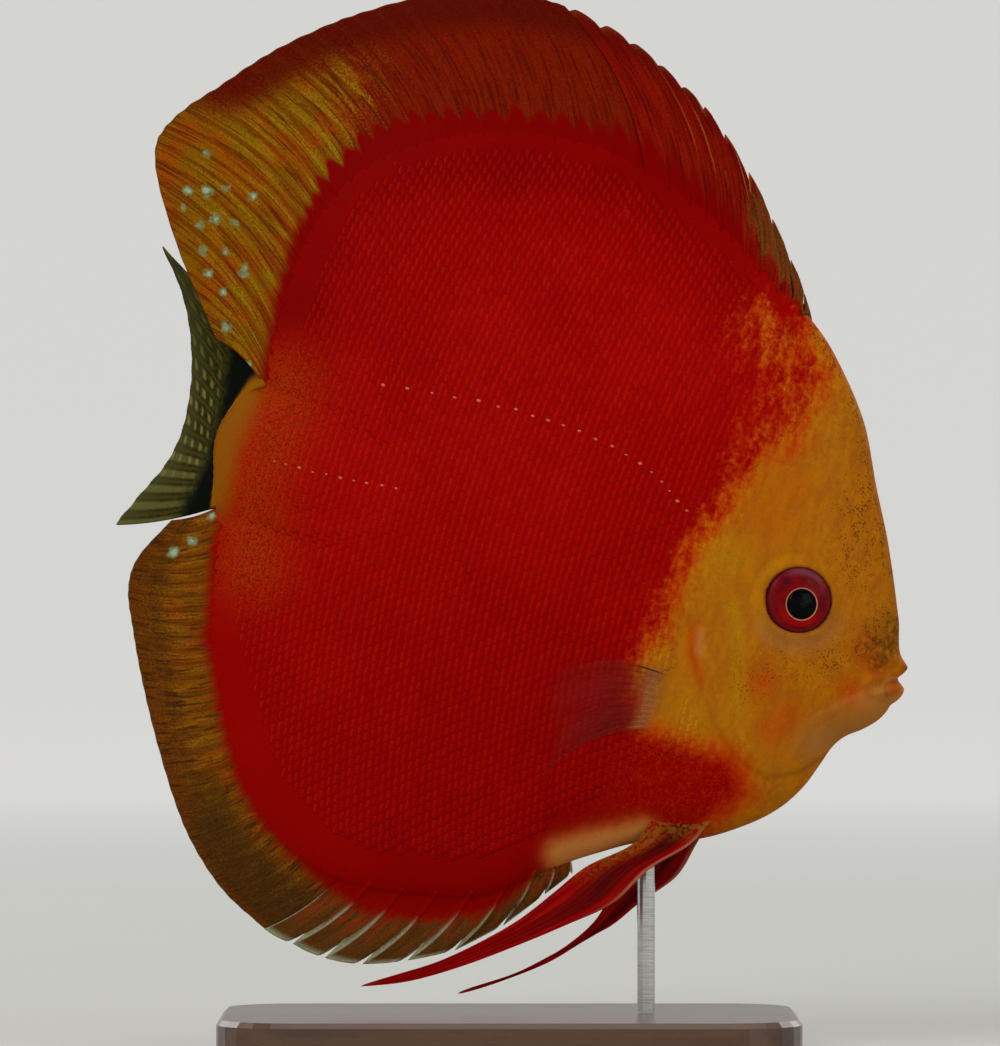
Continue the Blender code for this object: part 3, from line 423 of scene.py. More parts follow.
def markings(a, h):
    """Where each of the skin's colours lies, and where shade and light are painted on it, as four vectors of
    masks.
    """
    line, spots = partial(near, a, h), partial(around, a, h)
    share = share_of_radius(a, h)
    eye = distance(a, h, EYE_AT)
    pad = distance(a, h, LIP_PAD)
    nostril = distance(a, h, NOSTRIL_AT)
    edge, side, along = from_line(a, h, ORANGE_EDGE)
    orange = np.clip(0.5 + side * edge / (14.0 + 12.0 * ramp((h - 20.0) / 20.0)), 0.0, 1.0)
    nape = line([(92.0, 62.0), (98.5, 52.0), (100.5, 44.0), (98.5, 36.0)], 8.0)
    by_fin = ramp((share - 0.9) / 0.09) * ramp((99.0 - a) / 6.0) * ramp((h - 40.0) / 8.0)
    orange *= (1.0 - 0.36 * nape) * (1.0 - 0.7 * by_fin)
    orange = strongest(orange, 0.62 * line(VENT, 4.8))
    blush = strongest(
        spots([(126.0, -1.1), (128.8, -3.4), (125.4, -9.6)], 2.8),
        0.8 * spots([(115.4, -17.8), (109.0, -13.0), (113.5, -21.0)], 3.6),
        spots([LIP_PAD], 1.9),
        0.9 * line([(93.4, -6.0), (94.4, -11.0), (97.6, -16.0)], 1.1),
        0.4 * spots([(100.5, 17.0), (102.0, 24.0), (98.0, 30.0)], 6.0))
    smoke = strongest(
        line([(130.6, 4.5), (130.6, 1.0), (129.4, -1.6), (127.0, 0.0)], 3.2),
        0.55 * line([(124.0, 24.0), (128.0, 14.0), (130.6, 8.0)], 2.0))
    brow = ramp((share - 0.94) / 0.04) * ramp((h - 6.0) / 8.0) * ramp((a - 92.0) / 6.0)
    specks = strongest(
        line([(116.5, 27.0), (118.5, 20.0), (121.0, 14.0)], 7.5),
        line([(128.0, 6.0), (125.5, 0.0), (120.0, -5.0)], 5.0),
        0.75 * line([(122.0, -6.0), (112.0, -9.0), (107.0, -15.0)], 7.0),
        0.6 * line([(107.0, 44.0), (115.0, 32.0)], 7.0), brow)
    under_eye = ramp((EYE_AT[1] - 1.0 - h + 0.35 * (a - EYE_AT[0])) / 6.0)
    chin = strongest(
        line([(134.0, -10.5), (131.5, -13.2), (127.0, -17.0), (122.0, -21.0)], 3.4),
        0.8 * bump_of(eye - 8.2, 1.9) * under_eye)
    behind_pad = ramp((LIP_PAD[0] + 0.5 - a) / 1.5)
    pale = strongest(
        np.clip(1.3 * line(VENT, 2.7), 0.0, 1.0),
        0.5 * line([(94.9, -7.0), (96.0, -11.0)], 0.8),
        0.22 * line([(128.0, -9.4), (124.0, -12.8), (120.0, -17.0)], 0.9),
        0.5 * spots([(130.6, -8.9), (129.0, -10.2)], 2.0) * behind_pad,
        0.6 * bump_of(pad - 2.0, 0.45))
    yellow = strongest(
        0.7 * line([(99.4, 0.0), (102.8, -8.2), (106.0, -18.8)], 1.5),
        0.55 * bump_of(eye - 8.2, 1.0) * ramp((EYE_AT[0] - 2.0 - a) / 4.0),
        0.8 * line([(86.0, -50.5), (95.0, -45.6), (106.0, -44.0)], 2.6),
        0.5 * spots([(95.0, 8.0), (97.0, -24.0), (106.0, -27.0)], 6.0))
    # Painted shade and light: darker near the rim under the dorsal fin, where the body curves away, and
    # lighter in broad patches over the flank.
    dim = ramp((share - 0.68) / 0.26) * ramp((h - 4.0) / 26.0) * (1.0 - nape)
    shade = (1.0 - 0.65 * dim) * (0.62 + 0.38 * spots([(48.0, 24.0), (70.0, 36.0), (20.0, 0.0)], 30.0))
    stalk = ramp((3.6 - a + 0.1 * np.abs(h)) / 5.0) * ramp((15.0 - np.abs(h)) / 5.0)
    # Painted shade in the creases: along the mouth line, in the nostril, in the groove behind the gill
    # cover's edge, round the lip pad and round the eye; also a darker tip of the upper lip.
    mouth, side, along = from_line(a, h, MOUTH_LINE)
    lips = bump_of(mouth, 0.36) * ramp((0.75 - along) / 0.4)
    gill, side, along = from_line(a, h, GILL_EDGE)
    crease = strongest(
        lips, 0.4 * bump_of(nostril, 0.4),
        0.3 * bump_of(gill - 0.5, 0.5) * (side < 0) * ramp((along - 0.7) / 0.2),
        0.75 * spots([(135.0, -2.4)], 1.1),
        0.4 * bump_of(pad - 1.7, 0.3) * ramp(LIP_PAD[0] - a),
        0.2 * bump_of(eye - EYE_RADIUS - 0.05, 0.35))
    glow = line([(6.0, 14.0), (6.0, -6.0), (10.0, -20.0)], 7.0)
    return {
        "marks_head": np.stack([orange, blush, smoke], -1),
        "marks_face": np.stack([specks, chin, pale], -1),
        "marks_body": np.stack([shade, stalk, crease], -1),
        "marks_more": np.stack([yellow, glow, share], -1),
    }


def build_skin():
    """Both sides of the body in rings round its centre, closest together over the head."""
    head = np.arange(-HEAD_BEARING, HEAD_BEARING, HEAD_STEP)
    trunk = np.arange(HEAD_BEARING, 360.0 - HEAD_BEARING, TRUNK_STEP)
    bearings = np.concatenate([head, trunk])
    turn = np.radians(bearings)
    inner = INNER_SHARE * np.arange(1, INNER_RINGS + 1) / INNER_RINGS
    outer = np.sin(0.5 * math.pi * np.arange(1, OUTER_RINGS + 1) / OUTER_RINGS) ** 0.9
    shares = np.concatenate([inner, INNER_SHARE + (1.0 - INNER_SHARE) * outer])[:, None]
    count, rings = len(bearings), len(shares)
    a = CENTRE[0] + outline_radius(bearings) * np.cos(turn) * shares
    h = CENTRE[1] + outline_radius(bearings) * np.sin(turn) * shares
    half, middle = skin_half(a, h), float(skin_half(*CENTRE))
    points, quads, hubs = [], [], []
    number = np.arange(count)
    for side, first in ((-1.0, 1), (1.0, 2 + rings * count)):
        points.append([[CENTRE[0], side * middle, CENTRE[1]]])
        points.append(np.stack([a, side * half, h], -1).reshape(-1, 3))
        ring = ring_quads(rings, count) + first
        hub = np.stack([np.full(count, first - 1), number + first, np.roll(number, -1) + first], -1)
        quads.append(ring if side < 0 else ring[:, ::-1])
        hubs.append(hub if side < 0 else hub[:, ::-1])
    right = number + (rings - 1) * count + 1
    left = right + 1 + rings * count
    quads.append(np.stack([right, left, np.roll(left, -1), np.roll(right, -1)], -1))
    points = np.vstack(points)
    attributes = {**markings(points[:, 0], points[:, 2]), "fish": points}
    skin = mesh_of("skin", points, np.vstack([halved(np.vstack(quads)), *hubs]), attributes)
    skin.data.materials.append(skin_material("skin", scaled=False))
    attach(skin, "root")
    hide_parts("head", "torso", "tail_stalk", "gill_cover_right", "gill_cover_left")


# Scales

def skin_frame(a, h, side):
    """A place on the skin in millimetres, with its directions to the tail, up the body and out."""
    def at(off_a, off_h):
        return to_world(np.stack([a + off_a, side * skin_half(a + off_a, h + off_h), h + off_h], -1))

    step = 0.6
    rear = at(-step, 0.0) - at(step, 0.0)
    rear /= np.linalg.norm(rear, axis=1)[:, None]
    out = np.cross(rear, at(0.0, step) - at(0.0, -step)) * side
    out /= np.linalg.norm(out, axis=1)[:, None]
    return at(0.0, 0.0) / MM, rear, np.cross(out, rear) * side, out


def scale_roots(rng):
    """Staggered places over the trunk and the tail's stalk, in columns curved like the gill's edge."""
    columns = np.arange(*SCALE_REACH_A, SCALE_PITCH_A)
    rows = np.arange(*SCALE_REACH_H, SCALE_PITCH_H)
    a, h = np.meshgrid(columns, rows, indexing="ij")
    h = h + SCALE_PITCH_H * 0.5 * (np.arange(len(columns)) % 2)[:, None]
    a = a + SCALE_ROW_CURVE * (h - CENTRE[1]) ** 2
    a, h = a.ravel(), h.ravel()
    a = a + rng.normal(0.0, SCALE_STRAY, a.shape)
    h = h + rng.normal(0.0, SCALE_STRAY, h.shape)
    bearing, length = from_centre(a, h)
    from_rim = outline_radius(bearing) - length
    edge, side, along = from_line(a, h, SCALE_FRONT)
    # How far the scales stand out: less by the head, on the breast, at the rim, by the tail and at the vent
    raised = np.where(along < 0.45, ramp((edge - 2.0) / 14.0), ramp((edge - 1.0) / 10.0))
    raised *= 1.0 - 0.86 * ramp((a - 82.0) / 10.0) * ramp((-24.0 - h) / 8.0)
    raised *= ramp((from_rim - 1.0) / (15.0 + 8.0 * ramp((-20.0 - h) / 20.0)))
    raised *= ramp((a - 2.0) / 10.0) * (1.0 - 0.5 * ramp((-24.0 - h) / 24.0))
    raised *= 1.0 - near(a, h, VENT, 5.0)
    under_pectoral = ((a - 93.2) / 3.4) ** 2 + ((h + 21.8) / 7.0) ** 2 <= 1.0
    free = (from_rim > 1.0) & (side < 0) & (edge > 0.8) & (raised > LEAST_RAISED) & ~under_pectoral
    return a[free], h[free], raised[free]


def scale_faces():
    """Triangles of one scale: the fan and band of its top, the wall round it and its underside."""
    k = np.arange(SCALE_CORNERS)
    n = (k + 1) % SCALE_CORNERS
    inner, outer, low = 1, 1 + SCALE_CORNERS, 1 + 2 * SCALE_CORNERS
    top = [np.stack([np.zeros_like(k), inner + k, inner + n], -1),
           np.stack([inner + k, outer + k, outer + n], -1),
           np.stack([inner + k, outer + n, inner + n], -1)]
    rest = [np.stack([outer + k, low + k, low + n], -1),
            np.stack([outer + k, low + n, outer + n], -1),
            np.stack([np.full(SCALE_CORNERS - 2, low), low + k[2:], low + k[1:-1]], -1)]
    top, rest = np.vstack(top), np.vstack(rest)
    return np.vstack([top, rest]), len(top)


def build_scales(side, word, a, h, raised, rng):
    """One closed low dome for each scale, its rear edge over the scale behind."""
    count = len(a)
    root, rear, high, out = skin_frame(a, h, side)
    size = ((0.85 + 0.15 * raised) * rng.normal(1.0, 0.03, count))[:, None, None]
    turn = 2 * math.pi * (np.arange(SCALE_CORNERS) + 0.5) / SCALE_CORNERS
    ring = np.column_stack([np.cos(turn), np.sin(turn), np.ones(SCALE_CORNERS)])
    top = np.vstack([[0.0, 0.0, 0.0], ring * SCALE_RING, ring])
    slope = COAT_DEPTH * (0.3 * top[:, 0] + (1.0 - top[:, 2] ** 2))
    lift = COAT_DEPTH * 0.3 + slope[None] + rng.normal(0.0, 0.003, (count, 1))
    lift = lift * raised[:, None] - 0.12 * COAT_DEPTH
    back = (SCALE_HALF_A * top[:, 0])[None, :, None] * size
    up = (SCALE_HALF_H * top[:, 1])[None, :, None] * size
    flat = root[:, None] + rear[:, None] * back + high[:, None] * up
    upper = flat + out[:, None] * lift[..., None]
    under = flat[:, 1 + SCALE_CORNERS:] - out[:, None] * SCALE_DEPTH
    fish = from_world(np.concatenate([upper, under], axis=1).reshape(-1, 3))
    shape = np.vstack([top, ring])
    faces, domed = scale_faces()
    attributes = {**markings(fish[:, 0], fish[:, 2]), "fish": fish}
    attributes["scale"] = np.stack([np.tile(shape[:, 1], count), np.repeat(rng.random(count), len(shape)),
                                    np.tile(shape[:, 0], count)], -1)
    name = "scales_" + word
    turned = faces if side > 0 else faces[:, ::-1]
    obj = mesh_of(name, fish, repeated(turned, len(shape), count), attributes)
    sharp = obj.data.attributes.get("sharp_face") or obj.data.attributes.new("sharp_face", "BOOLEAN", "FACE")
    sharp.data.foreach_set("value", np.tile(np.arange(len(faces)) >= domed, count))
    add_bake_map(obj.data, a, h, side, shape)
    obj.data.materials.append(skin_material(name, scaled=True))
    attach(obj, "root")


def build_coat():
    """The scales of each side in two pieces, front and rear."""
    for side, word in SIDES:
        rng = np.random.default_rng(11 if side < 0 else 12)
        a, h, raised = scale_roots(rng)
        front = a > COAT_SPLIT
        for part, place in (("front", front), ("rear", ~front)):
            build_scales(side, word + "_" + part, a[place], h[place], raised[place], rng)


def unwrapped(a, h, side):
    """A place on the skin laid flat: each side is opened out from its centre, true in distance."""
    share = np.linspace(0.0, 1.0, 24)[:, None]
    line_a = CENTRE[0] + (a - CENTRE[0]) * share
    line_h = CENTRE[1] + (h - CENTRE[1]) * share
    half = half_thickness(line_a, line_h)
    pieces = np.sqrt(np.diff(line_a, axis=0) ** 2 + np.diff(line_h, axis=0) ** 2 + np.diff(half, axis=0) ** 2)
    length = pieces.sum(axis=0)
    turn = np.arctan2(h - CENTRE[1], (a - CENTRE[0]) * -side)
    middle = 0.25 if side < 0 else 0.75
    return middle + length * np.cos(turn) * BAKE_SIZE, 0.5 + length * np.sin(turn) * BAKE_SIZE


def add_bake_map(mesh, a, h, side, shape):
    """Each scale's patch on the unwrap of the skin, at the place of its root."""
    u, v = unwrapped(a, h, side)
    patch = shape[:, :2] * 0.5 * BAKE_PATCH
    places = (np.stack([u, v], -1)[:, None] + patch[None]).reshape(-1, 2)
    corner = np.empty(len(mesh.loops), np.int32)
    mesh.loops.foreach_get("vertex_index", corner)
    layer = mesh.uv_layers.new(name="OFBake")
    layer.uv.foreach_set("vector", places[corner].astype(np.float32).ravel())


def build_line_pores(side, word):
    """The pale raised pores of the lateral line."""
    dots = np.vstack([spline(UPPER_DOTS, 20), spline(LOWER_DOTS, 10)])
    rng = np.random.default_rng(5)
    dots = dots + rng.normal(0.0, 0.12, dots.shape)
    root, rear, high, out = skin_frame(dots[:, 0], dots[:, 1], side)
    corners, radius = 10, (PORE_RADIUS * rng.normal(1.0, 0.2, len(dots)))[:, None, None]
    turn = 2 * math.pi * np.arange(corners) / corners
    rings = [root[:, None] + rear[:, None] * (1.5 * np.cos(turn) * share)[None, :, None] * radius
             + high[:, None] * (np.sin(turn) * share)[None, :, None] * radius
             + out[:, None] * level for share, level in PORE_RINGS]
    foot = (root - out * 0.25)[:, None]
    top = (root + out * (COAT_DEPTH + 0.25))[:, None]
    points = np.concatenate([foot] + rings + [top], axis=1)
    each, last, faces = points.shape[1], 1 + (len(PORE_RINGS) - 1) * corners, []
    for i in range(corners):
        j = (i + 1) % corners
        faces.append((0, 1 + j, 1 + i))
        for low in range(1, last, corners):
            up = low + corners
            faces += [(low + i, low + j, up + j), (low + i, up + j, up + i)]
        faces.append((last + i, last + j, each - 1))
    one = np.array(faces) if side > 0 else np.array(faces)[:, ::-1]
    fish = from_world(points.reshape(-1, 3))
    obj = mesh_of("line_pores_" + word, fish, repeated(one, each, len(dots)), {"fish": fish})
    obj.data.materials.append(pore_material("line_pores_" + word))
    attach(obj, "root")


# Eyes

def build_eye(side, word):
    """A turned eye: a bulging lens in a thin pale ring, and an iris that falls away to its rim."""
    a, h = EYE_AT
    corners, step, count = 96, 0.5, len(EYE_PROFILE)
    slope_a = (half_thickness(a + step, h) - half_thickness(a - step, h)) / (2 * step)
    slope_h = (half_thickness(a, h + step) - half_thickness(a, h - step)) / (2 * step)
    out = np.array([-slope_a, side, -slope_h])
    out /= np.linalg.norm(out)
    forward = np.array([1.0, 0.0, 0.0]) - out * out[0]
    forward /= np.linalg.norm(forward)
    up = np.cross(out, forward)
    up *= np.sign(up[2])
    middle = np.array([a, side * float(half_thickness(a, h)), h])
    turn = 2 * math.pi * np.arange(corners) / corners
    points, rings = [], []
    for radius, height in EYE_PROFILE:
        lean = 1.0 - ramp((radius - 3.4) / 3.0)
        centre = middle + out * height + (forward * PUPIL_SHIFT[0] + up * PUPIL_SHIFT[1]) * lean
        spokes = forward * np.cos(turn)[:, None] + up * np.sin(turn)[:, None]
        points.append(centre + EYE_SIZE * radius * spokes)
        rings.append(np.column_stack([np.full(corners, radius), np.cos(turn), np.sin(turn)]))
    points = np.vstack(points + [middle - out * 2.2])
    number = np.arange(corners) + (count - 1) * corners
    back = np.stack([number, np.full(corners, count * corners), np.roll(number, -1)], -1)
    faces = np.vstack([halved(ring_quads(count, corners)), back])
    if np.cross(forward, up) @ out < 0:
        faces = faces[:, ::-1]
    rings = np.vstack(rings + [[0.0, 1.0, 0.0]])
    obj = mesh_of("eyeball_" + word, points, faces, {"iris": rings, "fish": points})
    obj.data.materials.append(eye_material("eyeball_" + word))
    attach(obj, "root")
    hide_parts("eye_" + word)


# Fins

def at_places(points, places):
    """Reads a smooth curve through the points at places from 0 to 1."""
    curve = spline(points, 600)
    even = np.linspace(0.0, 1.0, len(curve))
    return np.column_stack([np.interp(places, even, column) for column in curve.T])


def ray_grid(rays, per_ray, rows):
    """Places from the first ray to the last, and each point's ray number and share of its ray's length."""
    places = np.linspace(0.0, 1.0, rays * per_ray + 1)
    phase = (places * rays)[:, None] * np.ones(rows)
    out = np.ones((len(places), 1)) * np.linspace(0.0, 1.0, rows)
    return places, phase, out


def sunk_roots(bearings):
    """Roots a little inside the outline."""
    return np.array([outline_point(bearing, -ROOT_SUNK) for bearing in bearings])


def foot_half(a, h):
    """The fleshy foot of a median fin rises out of the skin at the rim and thins out beyond it."""
    bearing, length = from_centre(a, h)
    thick = ramp((rim_half(bearing) - RIM_HALF) / (FIN_RIM_HALF - RIM_HALF))
    out = length - outline_radius(bearing)
    buried = np.where(out < 0.0, skin_half(a, h) - rim_half(bearing) + FOOT_SINK * out, 0.0)
    return thick * (FOOT_HALF * np.exp(-np.maximum(out, 0.0) / FOOT_REACH) + buried)


def scallops(places, rays):
    """One between two rays and nought on a ray."""
    return 0.5 * (1.0 + np.cos(2 * math.pi * (places * rays % 1.0)))


def from_root(roots, tips, share, bow):
    """Rays from their roots to their tips on the middle plane, bowed a little to one side."""
    share = share[None, :, None]
    flat = roots[:, None] * (1.0 - share) + tips[:, None] * share
    run = tips - roots
    side = np.column_stack([-run[:, 1], run[:, 0]])
    flat = flat + bow * 4.0 * share * (1.0 - share) * side[:, None]
    return np.dstack([flat[..., 0], np.zeros(flat.shape[:2]), flat[..., 1]])


def branching(phase, out):
    """Height of the rays over the membrane: each one forks, and its forks fork again."""
    local = np.abs((phase % 1.0) - 0.5)
    first = 0.24 * ramp((out - 0.3) / 0.3)
    second = 0.12 * ramp((out - 0.66) / 0.2)
    width = 0.13 - 0.07 * ramp((out - 0.2) / 0.6)
    return bump_of(np.abs(local - first) - second, width)


def thickened(middle, half):
    """Points and quads of a closed thin sheet, thickened to both sides along its own normals."""
    normal = np.cross(np.gradient(middle, axis=0), np.gradient(middle, axis=1))
    normal /= np.linalg.norm(normal, axis=2)[..., None]
    points = np.vstack([(middle + side * normal * half[..., None]).reshape(-1, 3) for side in (1.0, -1.0)])
    number = np.arange(half.size).reshape(half.shape)
    corners = (number[:-1, :-1], number[1:, :-1], number[1:, 1:], number[:-1, 1:])
    front = np.stack(corners, -1).reshape(-1, 4)
    back = front[:, ::-1] + half.size
    rim = np.concatenate([number[:, 0], number[-1, 1:], number[-2::-1, -1], number[0, -2:0:-1]])
    following = np.roll(rim, -1)
    edge = np.stack([rim, rim + half.size, following + half.size, following], -1)
    return points, np.vstack([front, back, edge])


def fin_piece(name, middle, half, marks, material, replaced):
    """A fin from its middle sheet, half its thickness and the masks that its material reads."""
    points, quads = thickened(middle, half)
    attributes = {key: np.vstack([value.reshape(-1, 3)] * 2) for key, value in marks.items()}
    attributes["fish"] = points
    obj = mesh_of(name, points, quads, attributes)
    obj.data.materials.append(material)
    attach(obj, "root")
    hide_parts(replaced)


def median_marks(middle, phase, out, rise, pale_edge, colours, fin):
    """Masks for a median fin: its rays, red base, ochre part, dark outer band and pale spots."""
    a, h = middle[..., 0], middle[..., 2]
    edge, side, along = from_line(a, h, fin["red"][::-1])
    uneven = 1.0 + 0.45 * np.sin(2.4 * np.round(phase))
    upper = (h > 0.0) * 1.0
    toothed = ramp((h - 43.0) / 13.0)
    tongues = 1.1 * uneven * toothed * np.cos(2 * math.pi * (phase % 1.0)) + 0.6
    tongues += 2.2 * upper * (ramp((a - 44.0) / 14.0) - 1.6 * ramp((a - 76.0) / 10.0))
    soft = 4.0 + 5.0 * upper * ramp((a - 40.0) / 14.0) + 3.0 * (1.0 - toothed)
    base = ramp(0.5 + (tongues - side * edge) / soft) * ramp((82.0 - a + 40.0 * upper) / 8.0)
    spot = np.zeros(a.shape)
    for number, place in enumerate(fin["spots"]):
        spot = np.maximum(spot, around(a, h, [place], SPOT_RADIUS * (0.8 + 0.1 * (number * 7 % 5))))
    return {
        "fin": np.stack([phase, out, rise], -1),
        "fin_marks": np.stack([base, *colours], -1),
        "fin_more": np.stack([spot, pale_edge, np.zeros_like(spot)], -1),
    }


def build_rayed_fin(name, pairs, rays, rows, bow, fin):
    """The soft part of a median fin, its edge scalloped between the rays."""
    places, phase, out = ray_grid(rays, STEPS_PER_RAY, rows)
    bearings = at_places([(bearing, 0.0) for bearing, tip in pairs], places)[:, 0]
    roots = sunk_roots(bearings)
    tips = at_places([tip for bearing, tip in pairs], places)
    outward = (tips - roots) / np.linalg.norm(tips - roots, axis=1)[:, None]
    tips = tips - outward * fin["scallop"] * scallops(places, rays)[:, None]
    middle = from_root(roots, tips, out[0], bow)
    rise = branching(phase, out)
    middle[..., 1] += 0.2 * np.sin(phase * 0.9 + 2.0) * out**2
    a, h = middle[..., 0], middle[..., 2]
    half = MEMBRANE_HALF + RAY_RISE * rise * (1.0 - 0.6 * out) + foot_half(a, h)
    half *= 1.0 - 0.45 * ramp((out - 0.9) / 0.1)
    pale_edge = 0.6 * ramp((out - 0.985) / 0.015)
    marks = median_marks(middle, phase, out, rise, pale_edge, fin["colours"](a, h, out), fin)
    fin_piece(name, middle, half, marks, median_material(*fin["paint"]), "fin_" + name)


def behind_spine(inside):
    """How much of a notch is left behind a spine: cut in at once, then swelling to the next spine."""
    return np.where(inside < 0.02, 0.0, 1.0 - ramp(inside / 0.2))


def round_lobe(inside):
    """How much of a notch is left beside a rounded lobe, which falls away toward the next spine."""
    rise = np.sqrt(1.0 - (1.0 - np.clip(inside / 0.24, 0.0, 1.0)) ** 2)
    return 1.0 - rise * (1.0 - ramp((inside - 0.5) / 0.5))


def notched_edge(pairs, notches, cut_shape, inside):
    """Bearings, tips and spine numbers along a spiny fin, whose membrane is cut in between spines."""
    bearings, tips, spans = [], [], []
    for number, ((bearing, tip), (next_bearing, next_tip)) in enumerate(zip(pairs[:-1], pairs[1:])):
        tip, next_tip = np.array(tip), np.array(next_tip)
        kept = notches[0] + (notches[1] - notches[0]) * float(ramp(number / 6.0))
        for place, less in zip(inside, (1.0 - kept) * cut_shape(inside)):
            here = bearing + (next_bearing - bearing) * place
            root = outline_point(here)
            swell = 1.0 + 0.018 * math.sin(math.pi * place)
            tips.append(root + (tip + (next_tip - tip) * place - root) * (1.0 - less) * swell)
            bearings.append(here)
            spans.append(number + place)
    last_bearing, last_tip = pairs[-1]
    return bearings + [last_bearing], np.array(tips + [last_tip]), np.array(spans + [len(pairs) - 1.0])


def build_spiny_fin(name, pairs, notches, cut_shape, bow, fin):
    """The spines of a median fin, with the membrane notched between them."""
    per_spine, rows, gap = 20, 44, 0.024
    inside = gap + (1.0 - gap) * np.arange(1, per_spine) / per_spine
    inside = np.concatenate([[0.0, 0.5 * gap], inside])
    bearings, tips, spans = notched_edge(pairs, notches, cut_shape, inside)
    share = np.linspace(0.0, 1.0, rows)
    middle = from_root(sunk_roots(bearings), tips, share, bow)
    phase = spans[:, None] * np.ones(rows)
    out = np.ones((len(spans), 1)) * share
    from_spine = np.minimum(phase % 1.0, 1.6 * (1.0 - phase % 1.0) + 1.0)
    rise = bump_of(from_spine, 0.09)
    middle[..., 1] += 0.3 * np.sin(phase * 3.1) * out
    a, h = middle[..., 0], middle[..., 2]
    half = MEMBRANE_HALF + SPINE_RISE * rise * (1.0 - 0.75 * out)
    half += foot_half(a, h) * (1.0 - out**3)
    half *= 1.0 - 0.4 * ramp((out - 0.9) / 0.1)
    slit = bump_of(from_spine, fin["slit_width"]) * ramp((out - fin["slit"]) / 0.25)
    rim = ramp((out - fin["rim"]) / (1.0 - fin["rim"]))
    pale_edge = np.maximum(slit * fin["slits"](phase), rim * fin["rims"](phase))
    marks = median_marks(middle, phase + 0.5, out, rise, pale_edge, fin["colours"](a, h, out), fin)
    fin_piece(name, middle, half, marks, median_material(*fin["paint"]), "fin_" + name)


def build_caudal():
    """The tail fin swings to the fish's left, so it is seen foreshortened."""
    rays = 14
    places, phase, out = ray_grid(rays, STEPS_PER_RAY, rows=60)
    roots = sunk_roots(CAUDAL_BEARINGS[0] + (CAUDAL_BEARINGS[1] - CAUDAL_BEARINGS[0]) * places)
    roots = np.column_stack([roots[:, 0], np.zeros(len(roots)), roots[:, 1]])
    tips = at_places(CAUDAL_TIPS, places)
    tips = tips - (tips - roots) * scallops(places, rays)[:, None] * 0.015
    middle = roots[:, None] * (1.0 - out[..., None]) + tips[:, None] * out[..., None]
    bulge = (1.0 - places[:, None]) ** 2 * 4.0 * out * (1.0 - out) ** 1.5
    middle[..., 0] += CAUDAL_BOW[0] * bulge
    middle[..., 2] += CAUDAL_BOW[1] * bulge
    middle[..., 2] -= CAUDAL_SAG * places[:, None] ** 4 * 4.0 * out * (1.0 - out)
    rise = branching(phase, out)
    half = MEMBRANE_HALF + RAY_RISE * rise * (1.0 - 0.6 * out) + 1.6 * (1.0 - ramp(out / 0.16)) ** 1.5
    marks = {"fin": np.stack([phase, out, rise], -1)}
    fin_piece("tail_fin", middle, half, marks, caudal_material("tail_fin"), "fin_caudal")


def build_pectoral(side, word):
    """The clear fin fans back from the flank and stands off it."""
    places, phase, out = ray_grid(11, STEPS_PER_RAY, rows=44)
    roots, tips = at_places(PECTORAL_ROOT, places), at_places(PECTORAL_TIPS, places)
    middle = from_root(roots, tips, out[0], PECTORAL_BOW)
    start = half_thickness(roots[:, 0], roots[:, 1])[:, None] - 0.6
    middle[..., 1] = side * (start + PECTORAL_FLARE * out + 0.25 * np.sin(phase * 1.7) * out)
    rise = branching(phase, out)
    half = 0.1 + 0.08 * rise * (1.0 - 0.6 * out) + 0.6 * (1.0 - ramp(out / 0.2)) ** 1.5
    marks = {"fin": np.stack([phase, out, rise], -1)}
    name = "pectoral_" + word
    fin_piece(name, middle, half, marks, pectoral_material(name), "fin_" + name)


def build_pelvic(side, word, lower, upper):
    """A long strap of a fin that trails back from the belly, stiffest along its front."""
    rows = 90
    places, phase, out = ray_grid(5, 12, rows)
    low, high = spline(lower, rows), spline(upper, rows)
    point = np.sqrt(1.0 - np.clip((out[0] - 0.86) / 0.14, 0.0, 1.0) ** 2) * 0.98 + 0.02
    spread = (0.5 + (places[:, None] - 0.5) * point)[..., None]
    flat = low[None] * (1.0 - spread) + high[None] * spread
    away = PELVIC_APART + PELVIC_FLARE * ramp(out * 1.8)
    middle = np.dstack([flat[..., 0], side * away, flat[..., 1]])
    rise = bump_of((phase % 1.0) - 0.5, 0.16)
    spine = bump_of(phase, 0.3)
    half = MEMBRANE_HALF + 0.2 * rise * (1.0 - 0.5 * out) + 0.5 * spine * (1.0 - out) ** 0.6
    half += 0.5 * (1.0 - ramp(out / 0.12))
    marks = {"fin": np.stack([phase, out, np.maximum(rise, spine)], -1)}
    name = "pelvic_" + word
    fin_piece(name, middle, half, marks, pelvic_material(name), "fin_" + name)


def dorsal_colours(a, h, out):
    """The dorsal fin is red brown in front and ochre behind, and dark red toward its upper margin."""
    level = a * math.cos(PITCH) + h * math.sin(PITCH)
    rear = ramp((38.0 - level) / 30.0)
    band = ramp((out - 0.5) / 0.46) * ramp((h - 50.0 + 0.1 * a) / 16.0)
    return rear * (1.0 - 0.6 * band), band


def dorsal_front_colours(a, h, out):
    """The first lobes of the dorsal fin are olive brown toward their tips."""
    front = ramp((a - 76.0) / 9.0) * ramp((out - 0.1) / 0.3)
    return front, ramp((out - 0.6) / 0.4) * (1.0 - front)


def dorsal_slits(phase):
    """Two or three spines well back from the nape are edged in pale orange."""
    return bump_of(phase - 7.0, 1.4)


def dorsal_rims(phase):
    """The front lobes have a thin pale outline."""
    return 0.15 + 0.85 * ramp((5.5 - phase) / 2.0)


